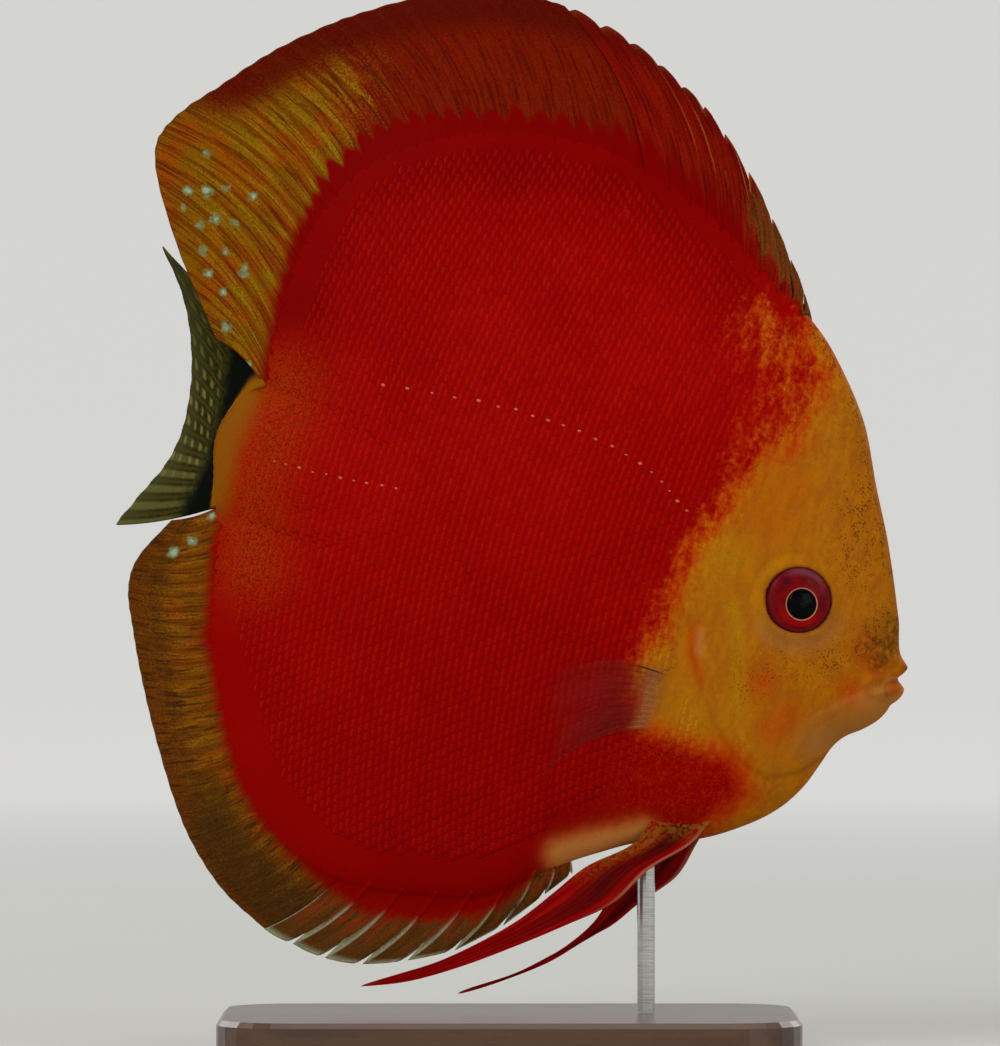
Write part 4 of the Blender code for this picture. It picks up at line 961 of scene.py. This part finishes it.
def anal_colours(a, h, out):
    """The anal fin is ochre by the body, dark olive further out, and red brown along its margin."""
    front = ramp((a - 4.0) / 30.0)
    ochre = (1.0 - 0.55 * front) * (1.0 - 0.7 * ramp((out - 0.35) / 0.35))
    band = 0.4 * ramp((out - 0.4) / 0.3) * (1.0 - ramp((out - 0.7) / 0.22))
    low = ramp((out - 0.12) / 0.3) * (1.0 - 0.5 * ramp((out - 0.86) / 0.12))
    band = np.maximum(band, 0.65 * low * ramp((a - 2.0) / 16.0) * ramp((-46.0 - h) / 20.0))
    return ochre, band


def build_fins():
    dorsal = {"scallop": 0.16, "colours": dorsal_colours, "red": DORSAL_RED, "spots": DORSAL_SPOTS,
              "paint": ("dorsal", DORSAL_PAINT)}
    dorsal_front = {"colours": dorsal_front_colours, "red": DORSAL_RED, "spots": [],
                    "slit": 0.3, "slit_width": 0.085, "slits": dorsal_slits, "rim": 0.93,
                    "rims": dorsal_rims, "paint": ("dorsal_front", DORSAL_FRONT_PAINT)}
    anal = {"scallop": 0.08, "colours": anal_colours, "red": ANAL_RED, "spots": ANAL_SPOTS,
            "paint": ("anal", ANAL_PAINT)}
    anal_front = {"colours": anal_colours, "red": ANAL_RED, "spots": [], "slit": 0.15, "slit_width": 0.05,
                  "slits": np.ones_like, "rim": 0.9, "rims": np.ones_like,
                  "paint": ("anal_front", ANAL_FRONT_PAINT)}
    build_rayed_fin("dorsal_rays", DORSAL_RAYS, 30, 70, DORSAL_BOW, dorsal)
    build_spiny_fin("dorsal_spines", DORSAL_SPINES, (0.08, 0.965), round_lobe, DORSAL_BOW, dorsal_front)
    build_rayed_fin("anal_rays", ANAL_RAYS, 27, 54, ANAL_BOW, anal)
    build_spiny_fin("anal_spines", ANAL_SPINES, (0.6, 0.6), behind_spine, ANAL_BOW, anal_front)
    build_caudal()
    for side, word in SIDES:
        build_pectoral(side, word)
    build_pelvic(-1.0, "right", PELVIC_RIGHT_LOWER, PELVIC_RIGHT_UPPER)
    build_pelvic(1.0, "left", PELVIC_LEFT_LOWER, PELVIC_LEFT_UPPER)


# Materials

def rgb(red, green, blue):
    """A colour as seen on a screen, from 0 to 255, as the shader takes it."""
    values = [value / 255.0 for value in (red, green, blue)]
    return tuple(v / 12.92 if v <= 0.04045 else ((v + 0.055) / 1.055) ** 2.4 for v in values) + (1.0,)


class Mask:
    """A number that varies over a material. Masks are added, subtracted and multiplied like numbers."""

    def __init__(self, paint, socket):
        self.paint, self.socket = paint, socket

    def maths(self, operation, *others):
        return self.paint.maths(operation, self, *others)

    def __add__(self, other):
        return self.maths("ADD", other)

    def __radd__(self, other):
        return self.paint.maths("ADD", other, self)

    def __sub__(self, other):
        return self.maths("SUBTRACT", other)

    def __rsub__(self, other):
        return self.paint.maths("SUBTRACT", other, self)

    def __mul__(self, other):
        return self.maths("MULTIPLY", other)

    def __abs__(self):
        return self.maths("ABSOLUTE")

    def larger(self, other):
        return self.maths("MAXIMUM", other)

    def step(self, low, high):
        """Nought below low and one above high, softly."""
        return self.paint.mask("ShaderNodeMapRange", {"interpolation_type": "SMOOTHSTEP"}, Value=self,
                               From_Min=low, From_Max=high)


class Paint:
    """The nodes of one material, added one by one."""

    def __init__(self, name, roughness, specular, coat=0.0, coat_roughness=0.1, metallic=0.0):
        self.material = bpy.data.materials.new(name)
        self.material.use_nodes = True
        self.tree = self.material.node_tree
        self.shader = self.tree.nodes["Principled BSDF"].inputs
        self.shader["Roughness"].default_value = roughness
        self.shader["Specular IOR Level"].default_value = specular
        self.shader["Coat Weight"].default_value = coat
        self.shader["Coat Roughness"].default_value = coat_roughness
        self.shader["Metallic"].default_value = metallic

    def node(self, kind, settings=None, **inputs):
        made = self.tree.nodes.new(kind)
        for key, value in (settings or {}).items():
            setattr(made, key, value)
        for key, value in inputs.items():
            self.put(made.inputs[key.replace("_", " ")], value)
        return made

    def put(self, socket, value):
        value = getattr(value, "socket", value)
        if isinstance(value, bpy.types.NodeSocket):
            self.tree.links.new(value, socket)
        else:
            socket.default_value = value

    def mask(self, kind, settings=None, **inputs):
        """The first output of a new node, as a mask."""
        return Mask(self, self.node(kind, settings, **inputs).outputs[0])

    def maths(self, operation, *values):
        made = self.node("ShaderNodeMath", {"operation": operation})
        for socket, value in zip(made.inputs, values):
            self.put(socket, value)
        return Mask(self, made.outputs[0])

    def attribute(self, name):
        return self.node("ShaderNodeAttribute", {"attribute_name": name}).outputs["Vector"]

    def place(self):
        return self.node("ShaderNodeTexCoord").outputs["Object"]

    def parts(self, vector):
        return [Mask(self, part) for part in self.node("ShaderNodeSeparateXYZ", Vector=vector).outputs[:3]]

    def read(self, name):
        """The three masks in an attribute of the mesh."""
        return self.parts(self.attribute(name))

    def vector(self, x, y, z=0.0):
        return self.node("ShaderNodeCombineXYZ", X=x, Y=y, Z=z).outputs[0]

    def stretched(self, vector, scale, turn=0.0):
        turned = (0.0, turn, 0.0)
        return self.node("ShaderNodeMapping", Vector=vector, Scale=scale, Rotation=turned).outputs[0]

    def noise(self, vector, scale, detail=2.0, roughness=0.5):
        return self.mask("ShaderNodeTexNoise", Vector=vector, Scale=scale, Detail=detail, Roughness=roughness)

    def cells(self, vector, scale):
        return self.mask("ShaderNodeTexVoronoi", Vector=vector, Scale=scale)

    def blend(self, share, first, second, kind="MIX"):
        made = self.node("ShaderNodeMix", {"data_type": "RGBA", "blend_type": kind})
        for number, value in ((0, share), (6, first), (7, second)):
            self.put(made.inputs[number], value)
        return made.outputs[2]

    def layers(self, colour, *layers):
        """Colours laid one over another, each where its mask is one."""
        for share, over in layers:
            colour = self.blend(share, colour, over)
        return colour

    def brighter(self, colour, by):
        grey = self.node("ShaderNodeCombineColor", Red=by, Green=by, Blue=by).outputs[0]
        return self.blend(1.0, colour, grey, "MULTIPLY")

    def bump(self, height, strength, distance):
        made = self.node("ShaderNodeBump", Height=height, Strength=strength, Distance=distance)
        self.put(self.shader["Normal"], made.outputs[0])

    def done(self, colour):
        """The finished material, in this colour."""
        self.put(self.shader["Base Color"], colour)
        return self.material


RED, RED_DEEP, RED_BRIGHT = rgb(138, 2, 0), rgb(112, 0, 0), rgb(152, 5, 1)
# Crimson and scarlet of the painted sheen on the scales
SHEEN_CRIMSON, SHEEN_SCARLET = rgb(140, 0, 14), rgb(160, 20, 0)
ORANGE, ORANGE_BRIGHT, ORANGE_DULL = rgb(170, 100, 10), rgb(182, 110, 2), rgb(156, 88, 14)
RED_ORANGE, YELLOW, GLOW = rgb(176, 50, 3), rgb(172, 120, 8), rgb(150, 48, 2)
SMOKE, SPECK, CREASE_SHADE = rgb(96, 58, 12), rgb(74, 36, 8), rgb(64, 20, 6)
CHIN, PALE, OCHRE = rgb(150, 98, 46), rgb(190, 120, 58), rgb(134, 82, 10)
SPOT, SPOT_LIGHT = rgb(112, 122, 78), rgb(150, 170, 146)


def skin_colour(paint):
    """The markings that the skin and its scales share, with the shade and light painted on them."""
    fish = paint.attribute("fish")
    orange, blush, smoke = paint.read("marks_head")
    specks, chin, pale = paint.read("marks_face")
    shade, stalk, crease = paint.read("marks_body")
    yellow, glow, share = paint.read("marks_more")
    along, side, up = paint.parts(fish)
    cloud = paint.noise(fish, 0.05, 1.0)
    streak = paint.noise(paint.stretched(fish, (0.5, 0.16, 0.16), 0.9), 1.0, 3.0, 0.6)
    fine = paint.noise(fish, 0.9, 3.0, 0.62)
    grain = paint.noise(fish, 3.2, 1.0, 0.7)
    # The reds follow the painted shade and light of the shade mask, broken by a cloudy random tone.
    lit = shade + (cloud - 0.5) * 0.7
    breast = along.step(78.0, 96.0) * up.step(-12.0, -26.0)
    fleck = fine.step(0.34, 0.66) * grain.step(0.42, 0.62)
    red = paint.layers(
        RED_DEEP, (lit.step(0.0, 0.5), RED), (lit.step(0.5, 1.1), RED_BRIGHT),
        (glow * grain.step(0.35, 0.6), GLOW), (fleck * breast * 0.4, RED_ORANGE))
    warm = paint.layers(
        ORANGE_DULL, (streak.step(0.35, 0.68), ORANGE), (fine.step(0.45, 0.75) * 0.7, ORANGE_BRIGHT),
        (blush * fine.step(0.2, 0.6) * 0.8, RED_ORANGE), (yellow * grain.step(0.2, 0.6), YELLOW))
    mottle = (streak - 0.5) * 0.8 + (fine - 0.5) * 0.7
    broken = orange + mottle * (0.3 + up.step(-26.0, -12.0) * 0.7)
    size = specks * 0.46 * paint.noise(fish, 0.6, 1.0).step(0.3, 0.62)
    dark = (size - paint.cells(fish, 2.1)).step(-0.08, 0.1) * specks.step(0.06, 0.25)
    colour = paint.layers(
        red, (broken.step(0.18, 0.56), RED_ORANGE), (broken.step(0.34, 0.8), warm), (stalk * 0.85, OCHRE),
        (pale * fine.step(-0.2, 0.55), PALE), (chin * 0.75, CHIN), (smoke * fine.step(0.25, 0.65), SMOKE),
        # The last layer is the painted shade in the creases.
        (dark * 0.7, SPECK), (crease * 0.85, CREASE_SHADE))
    return paint.brighter(colour, 0.87 + grain * 0.26)


def skin_material(name, scaled):
    """Wet skin; each scale has a painted sheen in a lighter upright dash, and its own cast of red."""
    paint = Paint(name, roughness=0.46, specular=0.012)
    colour = skin_colour(paint)
    if scaled:
        up, tone, back = paint.read("scale")
        # Painted sheen: a lighter upright dash on each scale, crimson to scarlet where the skin is red.
        sheen_dash = abs(back - 0.4).step(0.36, 0.05) * abs(up).step(1.0, 0.4)
        on_red = paint.read("marks_head")[0].step(0.5, 0.2) * 0.3
        colour = paint.layers(colour, (sheen_dash * on_red, paint.layers(SHEEN_CRIMSON, (tone, SHEEN_SCARLET))))
        colour = paint.brighter(colour, 0.9 + tone * 0.04 + sheen_dash * 0.26)
    return paint.done(colour)


def pore_material(name):
    paint = Paint(name, roughness=0.3, specular=0.4)
    cloud = paint.noise(paint.attribute("fish"), 1.3)
    return paint.done(paint.layers(rgb(176, 44, 30), (cloud, rgb(206, 104, 80))))


def eye_material(name):
    """Black lens, thin pale ring, and a wine red iris with fine spokes, a darker rim and a painted pinkish
    grey sheen over its top.
    """
    paint = Paint(name, roughness=0.35, specular=0.02, coat=0.05, coat_roughness=0.02)
    radius, cos, sin = paint.read("iris")
    spokes = paint.noise(paint.vector(cos, sin, radius * 0.05), 14.0, 5.0, 0.65)
    cloud = paint.noise(paint.attribute("fish"), 0.35, 3.0)
    iris = paint.layers(
        rgb(84, 5, 12), (cloud.step(0.35, 0.65), rgb(122, 4, 7)),
        (spokes.step(0.4, 0.7) * 0.5, rgb(58, 2, 16)),
        (sin.step(0.1, -0.8) * radius.step(5.6, 4.4) * 0.6, rgb(160, 8, 6)),
        (radius.step(5.2, 6.0) * 0.7, rgb(112, 14, 22)),
        # Painted sheen: a pinkish grey reflection over the top of the iris.
        (sin.step(0.6, 0.95) * radius.step(5.0, 5.8) * 0.4, rgb(122, 70, 84)),
        (radius.step(6.1, 6.5) * 0.8, rgb(60, 12, 12)))
    ring = paint.layers(rgb(196, 120, 84), (radius.step(3.26, 3.36), iris))
    return paint.done(paint.layers(rgb(3, 4, 5), (radius.step(3.06, 3.14), ring)))


DORSAL_PAINT = {"membrane": rgb(112, 18, 2), "ochre": rgb(124, 80, 4), "streak": rgb(138, 112, 12),
                "band": rgb(84, 12, 2), "ray": rgb(92, 30, 3), "bar": rgb(80, 14, 3), "base": rgb(118, 1, 0),
                "edge": rgb(100, 50, 16), "warm": rgb(140, 68, 4), "bars": 0.75, "fibres": 0.03,
                "lines": 0.75, "from": 0.05}
DORSAL_FRONT_PAINT = {"membrane": rgb(116, 10, 2), "ochre": rgb(90, 60, 20), "streak": rgb(150, 32, 6),
                      "band": rgb(94, 10, 3), "ray": rgb(118, 24, 8), "bar": rgb(78, 4, 2),
                      "base": rgb(118, 1, 0), "edge": rgb(164, 98, 38), "warm": rgb(96, 54, 18),
                      "bars": 0.6, "fibres": 0.35, "lines": 0.3, "from": -0.25}
ANAL_PAINT = {"membrane": rgb(94, 48, 8), "ochre": rgb(116, 66, 6), "streak": rgb(136, 92, 14),
              "band": rgb(54, 38, 12), "ray": rgb(70, 38, 8), "bar": rgb(46, 26, 8), "base": rgb(132, 3, 0),
              "edge": rgb(92, 96, 58), "warm": rgb(124, 60, 5), "bars": 0.75, "fibres": 0.0,
              "lines": 0.5, "from": -0.1}
ANAL_FRONT_PAINT = {"membrane": rgb(100, 52, 14), "ochre": rgb(110, 56, 12), "streak": rgb(152, 44, 8),
                    "band": rgb(72, 50, 18), "ray": rgb(98, 62, 26), "bar": rgb(62, 26, 8),
                    "base": rgb(134, 4, 0), "edge": rgb(150, 156, 122), "warm": rgb(110, 56, 12),
                    "bars": 0.5, "fibres": 0.8, "lines": 0.2, "from": -0.25}


def median_material(name, paints):
    """A fin's membrane with streaks along its rays, a red base, a dark band and pale spots."""
    paint = Paint(name, roughness=0.5, specular=0.01)
    phase, out, rise = paint.read("fin")
    base, ochre, band = paint.read("fin_marks")
    spot, edge, spare = paint.read("fin_more")
    fish = paint.attribute("fish")
    streak = paint.noise(paint.vector(phase * 1.6, out * 2.2), 1.0, 2.0, 0.6)
    bars = paint.noise(paint.vector(phase * 6.5, out * 2.6), 1.0, 2.0, 0.6)
    grain = paint.noise(fish, 2.9, 1.0, 0.8)
    from_ray = abs(phase.maths("FRACT") - 0.5)
    where = ochre + (streak - 0.5) * 0.7 + (grain - 0.5) * 0.7
    patch = paint.noise(fish, 0.13, 2.0).step(0.42, 0.62)
    ground = paint.layers(paints["ochre"], (patch, paints["warm"]))
    line = (from_ray.step(0.24, 0.06) * 0.5).larger(rise.step(0.3, 0.8))
    line = line * streak.step(0.36, 0.56) * grain.step(0.3, 0.5) * out.step(0.92, 0.55)
    line = line * ochre.step(paints["from"], paints["from"] + 0.5) * paints["lines"]
    fibre = bars.step(0.46, 0.6) * out.step(0.95, 0.3)
    outer = band + (bars - 0.5) * 0.9
    valley = from_ray.step(0.3, 0.46) * (0.12 + ochre * 0.4)
    rooted = base + (bars - 0.5) * 0.9 + (grain - 0.5) * 0.4
    ragged = spot + (paint.noise(fish, 0.55, 2.0, 0.6) - 0.6) * 2.2
    spotted = paint.layers(SPOT, (ragged.step(0.5, 1.0), SPOT_LIGHT))
    colour = paint.layers(
        paints["membrane"], (where.step(0.2, 0.8), ground), (line, paints["streak"]),
        (fibre * paints["fibres"], paints["streak"]), (bars.step(0.5, 0.36) * paints["bars"], paints["bar"]),
        (outer.step(0.2, 0.9) * 0.9, paints["band"]), (valley, paints["ray"]),
        (fibre * (band * paints["fibres"]), paints["streak"]), (edge * 0.8, paints["edge"]),
        (rooted.step(0.2, 0.8), paints["base"]),
        (spot.step(0.1, 0.5) * ragged.step(0.1, 0.5) * 0.9, spotted))
    return paint.done(paint.brighter(colour, (grain - 0.5) * (0.2 + base.step(0.8, 0.2)) + 1.0))


def caudal_material(name):
    """Dark olive membranes with a black base and rows of cream dots between the rays."""
    paint = Paint(name, roughness=0.6, specular=0.0)
    phase, out, rise = paint.read("fin")
    fine = paint.noise(paint.attribute("fish"), 1.4, 2.0, 0.6)
    wide = paint.noise(paint.attribute("fish"), 0.3, 1.0)
    rows = ((out * 13.0 + wide * 1.2 + phase * 0.6) * 3.0).maths("SINE")
    from_ray = abs(phase.maths("FRACT") - 0.5)
    between = from_ray.step(0.18, 0.4)
    middle = phase.step(3.0, 6.0) * phase.step(13.5, 9.5)
    dots = rows.step(-0.4, 1.0) * between * (0.35 + middle * 0.65)
    dots = dots.larger(phase.step(8.0, 11.0) * (between * 0.5)) * out.step(0.3, 0.5)
    ray = from_ray.step(0.16, 0.03) * out.step(0.25, 0.5)
    black = out + (wide - 0.5) * 0.25 + abs(phase - 7.0).step(4.5, 0.5) * 0.14
    return paint.done(paint.layers(
        rgb(32, 33, 13), (fine.step(0.35, 0.65), rgb(50, 50, 20)), (out.step(0.6, 1.0), rgb(58, 60, 32)),
        (ray * 0.45, rgb(84, 64, 24)), (dots * 0.8, rgb(118, 110, 54)),
        (black.step(0.5, 0.26), rgb(14, 16, 12)), (out.step(0.12, 0.04), OCHRE)))


def pectoral_material(name):
    """Nearly clear membrane between fine dark rays, with dark folds at the top of the root."""
    paint = Paint(name, roughness=0.35, specular=0.05)
    phase, out, rise = paint.read("fin")
    fine = paint.noise(paint.attribute("fish"), 1.2, 3.0)
    root = out.step(0.3, 0.16)
    fold = phase.step(2.4, 0.6) * out.step(0.4, 0.26) * rise.step(0.1, 0.6)
    ray = rise * (0.16 + phase.step(4.0, 10.0) * 0.4)
    body = (0.13 + ray) * (1.0 - out.step(0.45, 1.05) * 0.7)
    shown = body.larger(root * (0.3 + rise * 0.45)).larger(fold * 0.75)
    paint.put(paint.shader["Alpha"], shown * out.step(0.03, 0.16))
    return paint.done(paint.layers(
        rgb(112, 30, 26), (fine.step(0.3, 0.7), rgb(130, 44, 36)), (rise.step(0.3, 0.8), rgb(84, 20, 18)),
        (root, rgb(166, 104, 62)), (fold, rgb(66, 26, 12))))


def pelvic_material(name):
    """Saturated red with a maroon streak, a pink leading spine and an orange root."""
    paint = Paint(name, roughness=0.45, specular=0.015)
    phase, out, rise = paint.read("fin")
    streak = paint.noise(paint.vector(phase * 1.5, out * 5.0), 1.2, 4.0, 0.6)
    fine = paint.noise(paint.attribute("fish"), 1.6, 3.0)
    middle = phase.step(0.6, 1.6) * phase.step(3.8, 2.6)
    dark = middle * out.step(0.7, 0.35) * streak.step(0.3, 0.55)
    spine = phase.step(0.45, 0.12) * out.step(0.5, 0.25)
    upper = phase.step(2.4, 4.2) * out.step(0.36, 0.14)
    root = out.step(0.13, 0.03).larger(upper) * fine.step(0.35, 0.6)
    return paint.done(paint.layers(
        rgb(120, 2, 1), (streak.step(0.4, 0.62), rgb(146, 8, 4)), (dark * 0.85, rgb(50, 8, 6)),
        (spine * 0.7, rgb(172, 104, 80)), (root, rgb(126, 76, 16)), (out.step(0.93, 1.0), rgb(170, 50, 16))))


def wood_material(name):
    """Dark oiled wood with rings and pores along its length."""
    paint = Paint(name, roughness=0.36, specular=0.4, coat=0.25, coat_roughness=0.18)
    rings = paint.noise(paint.stretched(paint.place(), (5.0, 110.0, 110.0)), 1.0, 3.0, 0.5)
    pores = paint.noise(paint.stretched(paint.place(), (160.0, 2600.0, 2600.0)), 1.0, 3.0, 0.7)
    bands = (rings * 24.0).maths("SINE")
    paint.bump(pores, 0.2, 0.0001)
    return paint.done(paint.layers(
        rgb(66, 42, 27), (bands.step(-1.2, 1.2), rgb(84, 55, 35)),
        (pores.step(0.56, 0.72) * 0.7, rgb(38, 22, 14))))


def steel_material(name):
    """Brushed steel, its fine lines round the rod."""
    paint = Paint(name, roughness=0.26, specular=0.5, metallic=1.0)
    lines = paint.noise(paint.stretched(paint.place(), (300.0, 300.0, 9000.0)), 1.0, 3.0, 0.6)
    paint.bump(lines, 0.12, 0.00005)
    return paint.done(paint.layers(rgb(168, 168, 166), (lines.step(0.3, 0.7), rgb(204, 204, 200))))


# Stage

def build_stage():
    """A round pale floor that sweeps up to a low glowing wall on every side."""
    bend = 0.5 * np.pi * np.arange(13) / 12
    swept = FLOOR_FLAT + FLOOR_BEND * np.sin(bend)
    radius = np.concatenate([[0.001, 0.5, 1.2], swept, swept[-1:]])
    height = np.concatenate([[0.0, 0.0, 0.0], FLOOR_BEND * (1.0 - np.cos(bend)), [WALL_HEIGHT]])
    corners = 60
    turn = 2 * math.pi * np.arange(corners) / corners
    points = np.dstack([np.outer(radius, np.cos(turn)), np.outer(radius, np.sin(turn)),
                        np.outer(height, np.ones(corners))]).reshape(-1, 3)
    mesh = bpy.data.meshes.new("floor")
    mesh.from_pydata(points.tolist(), [], ring_quads(len(radius), corners).tolist())
    mesh.shade_smooth()
    paint = Paint("floor", roughness=0.7, specular=0.1)
    across, along, up = paint.parts(paint.place())
    square = across.maths("POWER", 2.0) + along.maths("POWER", 2.0)
    far = square.maths("SQRT").step(0.35, 1.7)
    pale = paint.layers(rgb(186, 186, 181), (paint.noise(paint.place(), 3.0), rgb(194, 194, 189)))
    paint.put(paint.shader["Emission Color"], (1.0, 0.995, 0.97, 1.0))
    paint.put(paint.shader["Emission Strength"], far * WALL_GLOW)
    mesh.materials.append(paint.done(paint.layers(pale, (far, rgb(0, 0, 0)))))
    linked("floor", mesh)


def add_light(name, at, size, power):
    """A square lamp aimed at the middle of the fish."""
    light = bpy.data.lights.new(name, "AREA")
    light.shape = "RECTANGLE"
    light.size, light.size_y = size, size
    light.energy = power
    obj = linked(name, light)
    obj.location = at
    obj.rotation_mode = "QUATERNION"
    obj.rotation_quaternion = (Vector(LIT_PLACE) - obj.location).to_track_quat("-Z", "Y")


def build_lights():
    add_light("key", (-0.7, -1.0, 0.9), 0.8, 9.5)
    add_light("fill", (1.0, -0.9, 0.5), 0.8, 4.6)
    add_light("top", (0.1, 0.1, 1.2), 0.9, 5.0)
    add_light("rear_left", (-0.9, 0.9, 0.8), 0.8, 8.0)
    add_light("rear_right", (0.9, 1.0, 0.7), 0.8, 6.0)
    world = bpy.data.worlds.new("studio")
    world.use_nodes = True
    sky = world.node_tree.nodes["Background"].inputs
    sky["Color"].default_value = (1.0, 1.0, 1.0, 1.0)
    sky["Strength"].default_value = 0.16
    bpy.context.scene.world = world
    bpy.context.scene.view_settings.view_transform = "Standard"


def build_camera():
    """A long lens square to the fish, so that one pixel of the photograph is a fixed length on it."""
    data = bpy.data.cameras.new("camera")
    data.lens, data.sensor_width = LENS, SENSOR
    data.sensor_fit = "AUTO"
    data.clip_start, data.clip_end = 0.01, 20.0
    away = IMAGE[1] * PIXEL * MM * LENS / SENSOR
    x = TAIL_X + (IMAGE[0] / 2 - TAIL_PIXEL[0]) * PIXEL
    z = TAIL_Z - (IMAGE[1] / 2 - TAIL_PIXEL[1]) * PIXEL
    camera = linked("camera", data)
    camera.location = (x * MM, -away, z * MM)
    camera.rotation_euler = (math.pi / 2, 0.0, 0.0)
    bpy.context.scene.camera = camera


def main():
    for obj in list(bpy.data.objects):
        bpy.data.objects.remove(obj)
    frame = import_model()
    build_skin()
    build_coat()
    for side, word in SIDES:
        build_line_pores(side, word)
        build_eye(side, word)
    build_fins()
    for node, material in (("stand_base", wood_material), ("stand_rod", steel_material)):
        data = frame["nodes"][node].data
        data.materials.clear()
        data.materials.append(material(node))
    build_stage()
    build_lights()
    build_camera()


main()
